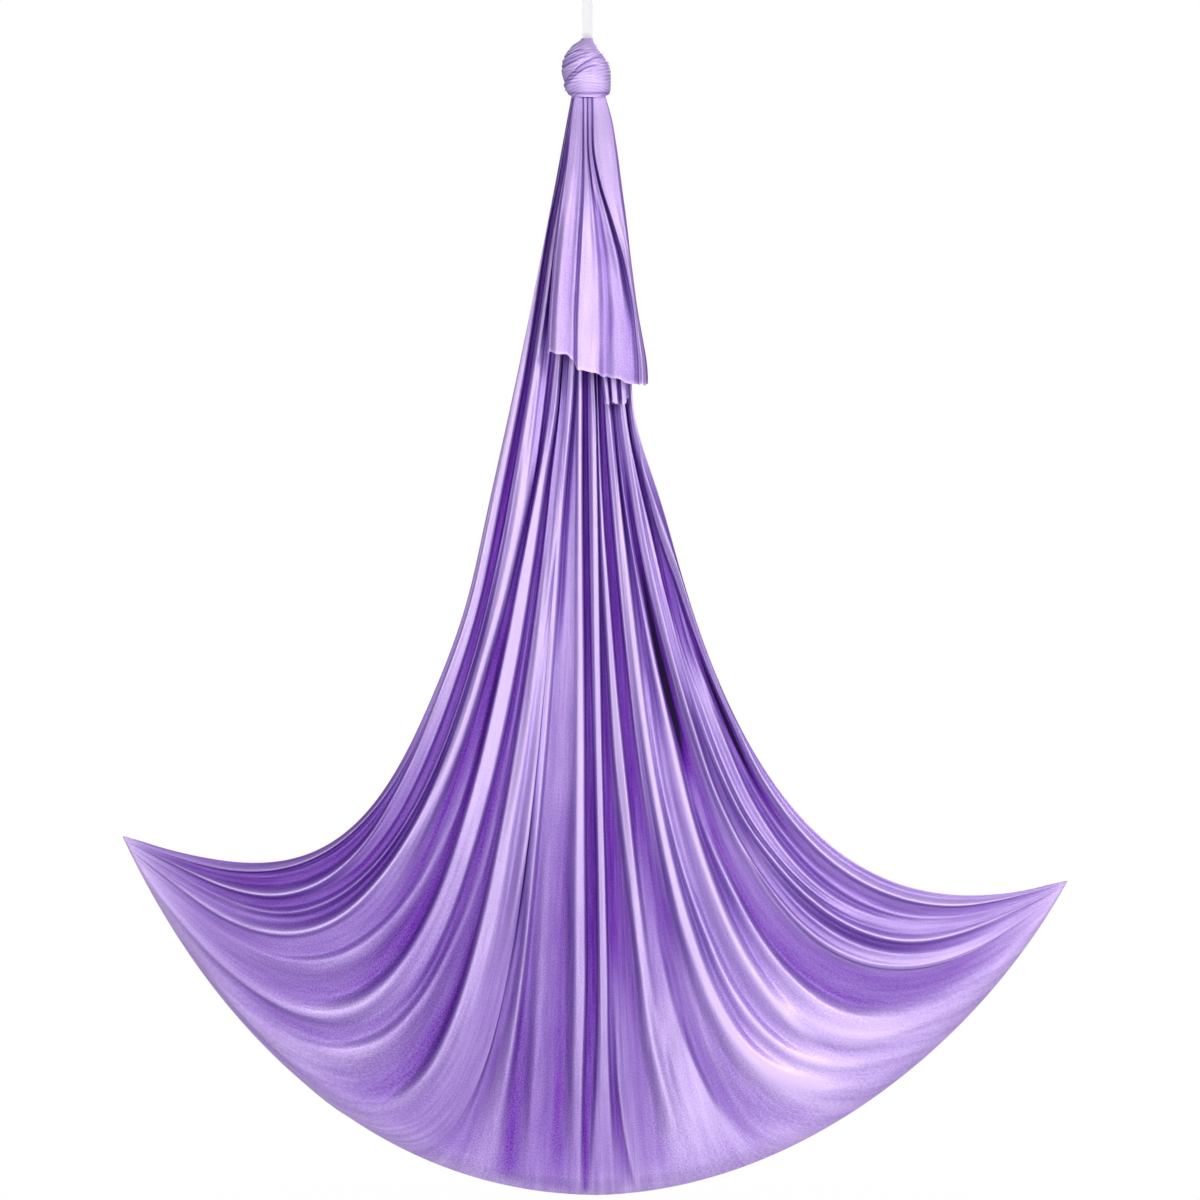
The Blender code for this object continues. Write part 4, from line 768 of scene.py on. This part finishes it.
tails = {
    "panelColumn": 270,      # whose heights stand for all of the panel's
    "rearColumn": 40,        # and for all of the rear tail's
    "near": 0.030,           # how far to each side a tail feels the panel
    "lift": 12,              # rows above and below a row that lift it
    "clear": 0.001,
    "hemWave": 0.0030,
    "levels": 160,
    "even": 15,              # columns that are averaged
    "turnRun": 0.16,         # over which a fold's height changes
    "neck": (0.12, 0.50),    # of the folds' depth at the knot: share kept, and the run
    "uneven": 0.12,          # of the depth
    "tone": (0.07, 0.70),    # painted shade in the valleys, and painted highlight added on the crests
    "selvedge": (0.30, 0.016),   # painted highlight along the hem: paler by, over this share above the hem
}


def panelFront(x, drop):
    # How far the front panel reaches toward the viewer near each (x, drop)
    z = cloth["neckZ"] - drop
    last = len(frontSurface) - 1
    row = frontSurface[np.searchsorted(-frontSurface[:, tails["panelColumn"], 2], -z).clip(0, last)]
    near = row[np.abs(row[:, 0] - x) < tails["near"], 1]
    return -near.min() if near.size else 0.0


# Tails

# Lines down each tail from its left edge to its right one: height from 0 in a valley to 1 on a
# crest, above and below a drop, that drop, the hem's drop, and the line's place across at each of
# the tail's drops, in millimetres
frontTail = {
    "drops": (0, 36, 112, 186, 236, 326, 426, 540),
    "lines": (
        (0.35, 0.40, 300, 514, (-27, -33, -39, -49, -57, -67, -75, -81)),
        (0.70, 0.50, 300, 511, (-25, -30, -36, -46, -53, -63, -71, -77)),
        (0.80, 0.85, 240, 514, (-18, -20, -25, -33, -40, -50, -58, -61)),
        (0.72, 0.70, 200, 520, (-14, -15, -16, -21, -25, -32, -38, -40)),
        (0.85, 0.80, 200, 528, (-11, -11.5, -11, -14, -17, -22, -28, -29)),
        (0.22, 0.58, 120, 535, (-8.4, -8.4, -8, -9, -11, -17, -23, -24)),
        (0.90, 0.95, 200, 549, (-6, -6, -5, -5, -7, -12, -17, -19)),
        (1.00, 1.00, 200, 553, (-4, -4, -2, 1, 4, 7, 7, 6)),
        (0.75, 0.85, 200, 557, (-1.5, -1.5, -0.5, 6.5, 11, 18, 20, 20)),
        (0.22, 0.52, 140, 559, (0.4, 0.4, 1, 9, 18, 29, 35, 34)),
        (0.90, 0.50, 200, 561, (2.5, 2.5, 3, 12, 22, 34, 41, 40)),
        (0.70, 0.70, 200, 566, (4.5, 4.5, 5, 17, 28, 45, 53, 56)),
        (0.82, 0.60, 400, 571, (6.5, 7, 7.5, 21, 36, 58, 70, 75)),
        (0.20, 0.42, 430, 575, (9, 9.5, 10, 25, 41, 69, 90, 99)),
        (0.95, 0.75, 430, 577, (12, 13, 14, 29, 46, 73, 92, 103)),
        (1.00, 0.90, 400, 578, (22, 26, 34, 44, 57, 78, 95, 109)),
        (0.80, 0.60, 400, 576, (34, 44, 54, 62, 69, 83, 97, 115)),
        (0.35, 0.10, 450, 573, (36, 48, 60, 69, 76, 86, 99, 120)),
    ),
    "depth": 0.033,
    "columns": 220,
    "rows": 150,
    "flat": (0.27, 0.57),
}
rearTail = {
    "drops": (0, 112, 236, 426, 616),
    "lines": (
        (0.3, 0.3, 0, 612, (-10, -6, 0, 14, 34)),
        (1.0, 1.0, 0, 613, (-7, -2, 6, 20, 39)),
        (0.9, 0.9, 0, 613, (-3, 3, 12, 26, 43)),
        (0.0, 0.0, 0, 609, (2, 9, 19, 33, 47)),
        (0.9, 0.9, 0, 612, (5, 14, 25, 38, 51)),
        (1.0, 1.0, 0, 614, (11, 20, 32, 46, 59)),
        (0.1, 0.1, 0, 612, (16, 27, 39, 54, 66)),
        (0.9, 0.9, 0, 613, (19, 31, 45, 59, 70)),
        (0.8, 0.8, 0, 613, (23, 38, 52, 68, 76)),
        (0.3, 0.3, 0, 598, (26, 42, 58, 78, 82)),
    ),
    "depth": 0.015,
    "columns": 120,
    "rows": 120,
    "flat": (0.11, 0.62),
}


def makeTail(name, tail, behind, material, seed):
    above, below, turns, hems, places = zip(*tail["lines"])
    features = np.linspace(0.0, 1.0, len(hems))
    across = np.linspace(0.0, 1.0, tail["columns"])
    down = np.linspace(0.0, 1.0, tail["rows"])
    hem = np.interp(across, features, hems) / 1000
    hem = hem + tails["hemWave"] * np.sin(across * 46 + seed) * np.sin(across * 17 + 2 * seed)
    drops = down[:, None] * hem[None, :]
    levels = np.linspace(0, hem.max(), tails["levels"])
    spread = np.array([np.interp(levels, np.array(tail["drops"]) / 1000, np.array(line) / 1000) for line in places])
    x = [np.interp(drops[:, c], levels, [np.interp(place, features, row) for row in spread.T])
         for c, place in enumerate(across)]
    x = smoothed(x, np.ones(tails["even"]), mode="reflect", reflect_type="odd").T
    change = ease((down[:, None] * hem.max() - np.array(turns) / 1000) / tails["turnRun"] + 0.5)
    heights = np.array(above) + (np.array(below) - np.array(above)) * change
    height = np.array([through(across, features, row) for row in heights])
    kept, run = tails["neck"]
    depth = tail["depth"] * rising(kept, down / run)[:, None]
    base = np.array([behind(x[r].mean(), drops[r].mean()) for r in range(len(down))])
    reach = tails["lift"]
    base = [base[max(0, r - reach):r + min(reach, r) + 1].max() for r in range(len(base))]
    base = smoothed([base], np.ones(2 * reach + 1))[0] + tails["clear"]
    y = base[:, None] + depth * height * (1 + tails["uneven"] * ripple(drops * 16, across[None, :] * 9, seed))
    points = np.stack((x, -y, cloth["neckZ"] - drops), axis=2)
    coordinates = np.broadcast_to(across * tail["flat"][0] * 2, x.shape)
    (valley, crest), (paler, run) = tails["tone"], tails["selvedge"]
    # Painted shade in the valleys, painted highlight on the crests and a painted pale line above the hem
    tone = height * crest + valley + paler * ease((down - (1 - run)) / run)[:, None]
    piece = gridObject(name, points, coordinates, drops, tone, material, necks=(0,))
    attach(piece, "hammock")
    return piece, points


rearTailCloth, rearSurface = makeTail("rearTailCloth", rearTail, panelFront, tailSatin, 5)


def rearFront(x, drop):
    z = cloth["neckZ"] - drop
    row = rearSurface[np.abs(rearSurface[:, tails["rearColumn"], 2] - z).argmin()]
    reach = -row[:, 1].min() if drop < 0.6 else 0.0
    return max(reach, panelFront(x, drop))


frontTailCloth, _ = makeTail("frontTailCloth", frontTail, rearFront, tailSatin, 9)
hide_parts("rear_tail")
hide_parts("front_tail")
print("tails made")


# Knot

knot = {
    "crownZ": -0.228,
    "height": 0.1205,
    "crowding": 0.85,        # of the rows: below 1 they lie closer at the bottom
    "step": 0.0022,          # over which a turn rises at its edge
    "fall": 0.016,           # over which it sinks again
    "groove": (0.0012, 0.0018, 0.45, 0.55),    # before the edge: place, width, depth, and darkness of its painted shade
    "wrinkle": (0.0009, 0.20),   # height, and share of the painted light and shade on them
    "backCalm": 0.75,        # how much calmer the wrinkles are at the back
    "lip": (0.113, 2.2, 0.004, 0.35),          # its upper edge: drop, bend, depth, and darkness of the painted shade along it
    "shade": 0.80,
    # Outline to the left, to the right and in depth: drop and reach in millimetres
    "left": ((0, 10), (6, 20), (14, 31), (33, 46), (52, 49), (77, 47), (92, 44), (104, 37), (112, 35), (121, 33)),
    "right": ((0, 10), (6, 14), (17, 21), (30, 31), (47, 42), (64, 46), (90, 46.5), (102, 46), (110, 44), (121, 36)),
    "deep": ((0, 10), (6, 17), (17, 27), (33, 37), (52, 42), (77, 43), (92, 42), (104, 38), (112, 34), (121, 31)),
    "around": 220,
    "levels": 190,
}
# Edges of the turns: level at the axis, tilt, bend, how far the turn below stands out, and where
# along x it fades out
knotEdges = (
    (-0.026, 0.10, -5.0, 0.0030, -0.012, 0.018),
    (-0.034, 0.24, -2.6, 0.0020, 0.004, 0.024),
    (-0.041, 0.30, -2.0, 0.0030, -0.008, 0.024),
    (-0.053, 0.62, -4.5, 0.0050, 0.020, 0.030),
    (-0.058, 0.58, -6.0, 0.0014, 0.014, 0.024),
    (-0.0655, 0.42, -9.0, 0.0044, 0.016, 0.026),
    (-0.074, 0.10, 4.0, 0.0008, 0.060, 0.020),
)


def makeKnot():
    turn = np.linspace(0, 2 * math.pi, knot["around"], endpoint=False)[None, :]
    drop = knot["height"] * np.linspace(0, 1, knot["levels"])[:, None] ** knot["crowding"]
    reach = {}
    for side in ("left", "right", "deep"):
        reach[side] = smoothed([np.interp(drop[:, 0], *np.array(knot[side]).T / 1000)], np.ones(9))[0][:, None]
    across = np.where(np.cos(turn) > 0, reach["right"], reach["left"])
    radius = 1 / np.sqrt((np.cos(turn) / across) ** 2 + (np.sin(turn) / reach["deep"]) ** 2)
    grooveAt, grooveRun, grooveDepth, grooveShade = knot["groove"]
    stand = 0.0
    for _ in range(2):
        x = (radius + stand) * np.cos(turn)
        stand, shade = np.zeros_like(radius), np.full(radius.shape, knot["shade"])
        for level, tilt, bend, lift, stop, run in knotEdges:
            below = (level + tilt * x + bend * x * x) + drop
            strength = ease((stop - x) / run + 0.5)
            step = ease(below / knot["step"] + 0.5)
            stand = stand + strength * lift * step * np.exp(-np.maximum(below, 0) / knot["fall"])
            groove = np.exp(-np.abs(below + grooveAt) / grooveRun)
            stand = stand - strength * lift * grooveDepth * groove
            # Painted shade in the grooves
            shade = shade - strength * grooveShade * groove * min(1.0, lift / 0.003)
    x = (radius + stand) * np.cos(turn)
    wrinkle = np.sin((drop + 0.45 * x) * 900 + 3 * ripple(x * 60, drop * 50, 4))
    lower = ease((drop - 0.066 - 0.4 * x) / 0.02)
    wrinkle = wrinkle * (1 - lower) + lower * np.sin((drop - 2.6 * x * x) * 1100 + 4 * ripple(x * 50, drop * 40, 6))
    wrinkle = wrinkle * (0.5 + 0.5 * ripple(x * 45, np.sin(turn) * 3, 8))
    wrinkle = wrinkle * (1 - knot["backCalm"] * ease(np.sin(turn) / 0.4))
    relief, wrinkleShading = knot["wrinkle"]
    stand = stand + relief * wrinkle
    # Painted light on the raised wrinkles and painted shade in their troughs
    shade = shade + wrinkleShading * wrinkle
    lipDrop, lipBend, lipDepth, lipShade = knot["lip"]
    pastLip = drop - lipDrop + lipBend * x * x
    stand = stand - lipDepth * ease(pastLip / 0.003)
    # Painted shade along the lip's crease
    shade = shade - lipShade * np.exp(-np.abs(pastLip) / 0.0015)
    radius = radius + stand
    z = knot["crownZ"] - drop * np.ones_like(radius)
    points = np.stack((radius * np.cos(turn), radius * np.sin(turn), z), axis=2)
    # The cloth turns in round the strap at the top and closes underneath, with painted shade in the mouth and
    # underneath
    mouth = points[:1] * (0.55, 0.55, 1.0) - (0.0, 0.0, 0.004)
    throat = mouth * (0.9, 0.9, 1.0) - (0.0, 0.0, 0.012)
    under = points[-1:] * (0.80, 0.80, 1.0) + (0.0, 0.0, 0.003)
    closing = points[-1:] * (0.02, 0.02, 1.0) + (0.0, 0.0, 0.004)
    points = np.concatenate((throat, mouth, points, under, closing))
    shade = np.concatenate((np.full_like(shade[:1], 0.1), shade[:1] * 0.4, shade, shade[-1:] * 0.3, shade[-1:] * 0.1))
    along = np.concatenate((drop[:1] - 0.02, drop[:1] - 0.01, drop, drop[-1:] + 0.01, drop[-1:] + 0.02))
    piece = gridObject("knotCloth", points[::-1], (along * np.ones_like(shade))[::-1] * 3,
                       np.broadcast_to(turn * 0.05, shade.shape)[::-1], shade[::-1], knotSatin, closed=True)
    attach(piece, "hammock")
    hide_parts("knot_lip", "knot_lower_wrap", "knot_diagonal_wrap", "knot_crown")
    return piece


knotCloth = makeKnot()
for piece, tail in ((frontTailCloth, frontTail), (rearTailCloth, rearTail)):
    area = sum(face.area for face in piece.data.polygons)
    print(piece.name, "area", round(area, 3), "flat", tail["flat"][0] * tail["flat"][1])
print("knot made")


# Strap

strap = {
    "width": 0.0200,
    "thickness": 0.0018,
    "top": -0.0915,          # axis of the carabiner's foot
    "bottom": -0.2550,       # axis of the ring's straight bar
    "topBar": 0.0055,
    "bottomBar": 0.0045,
    "clear": 0.0003,
    "eye": 0.026,            # from a bar's axis to where the layers meet
    "edge": 0.0004,
}


def strapPath():
    # Outlines in the YZ plane: the outside, and the two eyes
    steps = 24
    eyes, outside = [], []
    for bar, centre, side in ((strap["topBar"], strap["top"], 1), (strap["bottomBar"], strap["bottom"], -1)):
        inner = bar + strap["clear"]
        outer = inner + strap["thickness"]
        turns = np.linspace(0, math.pi, steps + 1)
        eye = [(inner * math.cos(t), centre + side * inner * math.sin(t)) for t in turns]
        eye.append((0.0, centre - side * (strap["eye"] - 2 * strap["thickness"])))
        neck = centre - side * strap["eye"]
        outside.append((side * strap["thickness"], neck))
        outside += [(side * outer * math.cos(t), centre + side * outer * math.sin(t)) for t in turns]
        outside.append((-side * strap["thickness"], neck))
        eyes.append(eye)
    return outside, eyes


def makeStrap():
    outside, eyes = strapPath()
    bm = bmesh.new()
    half = strap["width"] / 2
    caps = {-half: [], half: []}
    for outline in (outside, *eyes):
        left, right = [[bm.verts.new((x, y, z)) for y, z in outline] for x in caps]
        for i in range(len(outline)):
            j = (i + 1) % len(outline)
            bm.faces.new((left[i], left[j], right[j], right[i]))
            caps[-half].append(bm.edges.get((left[i], left[j])))
            caps[half].append(bm.edges.get((right[i], right[j])))
    rims = [edge for edges in caps.values() for edge in edges]
    for edges in caps.values():
        bmesh.ops.triangle_fill(bm, edges=edges, use_beauty=True)
    bmesh.ops.recalc_face_normals(bm, faces=bm.faces)
    bmesh.ops.bevel(bm, geom=rims, offset=strap["edge"], segments=2, affect="EDGES")
    piece = meshObject("webbingStrap", bm, strapWeave)
    piece.data.shade_smooth()
    piece.data.set_sharp_from_angle(angle=math.radians(40))
    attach(piece, "strap")
    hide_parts("strap_webbing")


tack = {
    "width": 0.015,
    "swing": 0.0009,         # of the zigzag to each side
    "rows": 3,
    "pitch": 0.0032,
    "thread": 0.00034,
    "steps": 26,
    "fromEye": 0.009,        # from where the layers meet
    "lift": 0.0001,          # off the webbing
}


def makeTack(name, z, front):
    # A bar tack: close zigzag stitches across the strap, in rows
    bm = bmesh.new()
    for row in range(tack["rows"]):
        level = z + (row - (tack["rows"] - 1) / 2) * tack["pitch"]
        path = []
        for i in range(tack["steps"] + 1):
            x = -tack["width"] / 2 + tack["width"] * i / tack["steps"]
            path.append(Vector((x, front, level + (tack["swing"] if i % 2 else -tack["swing"]))))
        for a, b in zip(path, path[1:]):
            side = (b - a).normalized().cross(Vector((0, 1, 0))).normalized() * tack["thread"]
            rings = []
            for centre, lift in ((a, 0.2), (a.lerp(b, 0.5), 1.0), (b, 0.2)):
                top = Vector((0, math.copysign(tack["thread"] * lift, front), 0))
                rings.append([bm.verts.new(centre + side), bm.verts.new(centre + top + side * 0.5),
                              bm.verts.new(centre + top - side * 0.5), bm.verts.new(centre - side)])
            for low, high in zip(rings, rings[1:]):
                for k in range(3):
                    bm.faces.new((low[k], low[k + 1], high[k + 1], high[k]))
    bmesh.ops.recalc_face_normals(bm, faces=bm.faces)
    piece = meshObject(name, bm, threadFinish)
    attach(piece, "strap")


makeStrap()
for label, level in (("upper", strap["top"] - strap["eye"] - tack["fromEye"]),
                     ("lower", strap["bottom"] + strap["eye"] + tack["fromEye"])):
    for face, front in (("Front", -strap["thickness"] - tack["lift"]), ("Back", strap["thickness"] + tack["lift"])):
        makeTack(label + "Tack" + face, level, front)
print("strap made")


# Floor, backdrop and lights

def makeFloor():
    half, z = view["floorHalf"], view["floor"]
    mesh = bpy.data.meshes.new("paleFloor")
    mesh.from_pydata([(-half, -half, z), (half, -half, z), (half, half, z), (-half, half, z)], [], [(0, 1, 2, 3)])
    s = Shader("floorPaint")
    mottle = s.node("TexNoise", Scale=0.6, Detail=2.0)
    s.put(Base_Color=s.mix(mottle, *view["floorPaint"]), Roughness=0.9)
    reach = s.node("VectorMath", {"operation": "LENGTH"}, 1, i0=s.node("TexCoord", None, 3))
    start, stop = view["shadowFade"]
    near = s.node("MapRange", {"interpolation_type": "SMOOTHSTEP"}, Value=reach, i1=start, i2=stop,
                  i3=view["shadow"], i4=0.0)
    glow = s.node("Emission", Color=white, Strength=1.0)
    s.cover(s.node("LightPath") * (1.0 - near), glow, "Material Output")
    mesh.materials.append(s.owner)
    floor = addObject("paleFloor", mesh)


def makeWorld():
    # White to the camera, dimmer to the cloth
    s = Shader("studio", "worlds", "Background")
    s.put(Color=white, Strength=view["glow"])
    s.cover(s.node("LightPath"), s.node("Background", Color=white, Strength=1.0), "World Output")
    scene.world = s.owner


lamps = {
    "keyLamp": {"place": (-1.5, -3.8, 0.1), "size": (1.2, 1.6), "power": 54, "aim": (0, -0.9),
                "color": (0.98, 0.98, 1.0)},
    "fillLamp": {"place": (2.6, -2.7, 0.4), "size": (1.0, 1.6), "power": 66, "aim": (0.1, -0.8),
                 "color": (1.0, 0.97, 0.98)},
    "pouchLamp": {"place": (1.4, -1.7, -1.8), "size": (0.7, 0.9), "power": 4, "aim": (0.45, -2.05),
                  "color": (1.0, 0.96, 0.97)},
    "backLamp": {"place": (0.6, 3.4, 1.6), "size": (1.4, 1.6), "power": 120, "aim": (0, -1.0),
                 "color": (1.0, 1.0, 1.0)},
    "lowLamp": {"place": (0.0, -3.0, -3.0), "size": (2.8, 0.8), "power": 23, "aim": (0, -2.2),
                "color": (0.98, 0.98, 1.0)},
}


def makeLamps():
    for name, lamp in lamps.items():
        data = bpy.data.lights.new(name, "AREA")
        data.shape = "RECTANGLE"
        data.size, data.size_y = lamp["size"]
        data.energy = lamp["power"]
        data.color = lamp["color"]
        item = addObject(name, data)
        item.location = lamp["place"]
        x, z = lamp["aim"]
        way = Vector((x, 0, z)) - Vector(lamp["place"])
        item.rotation_euler = way.to_track_quat("-Z", "Y").to_euler()


makeFloor()
makeWorld()
makeLamps()
print("room and lights made")

bpy.context.view_layer.update()
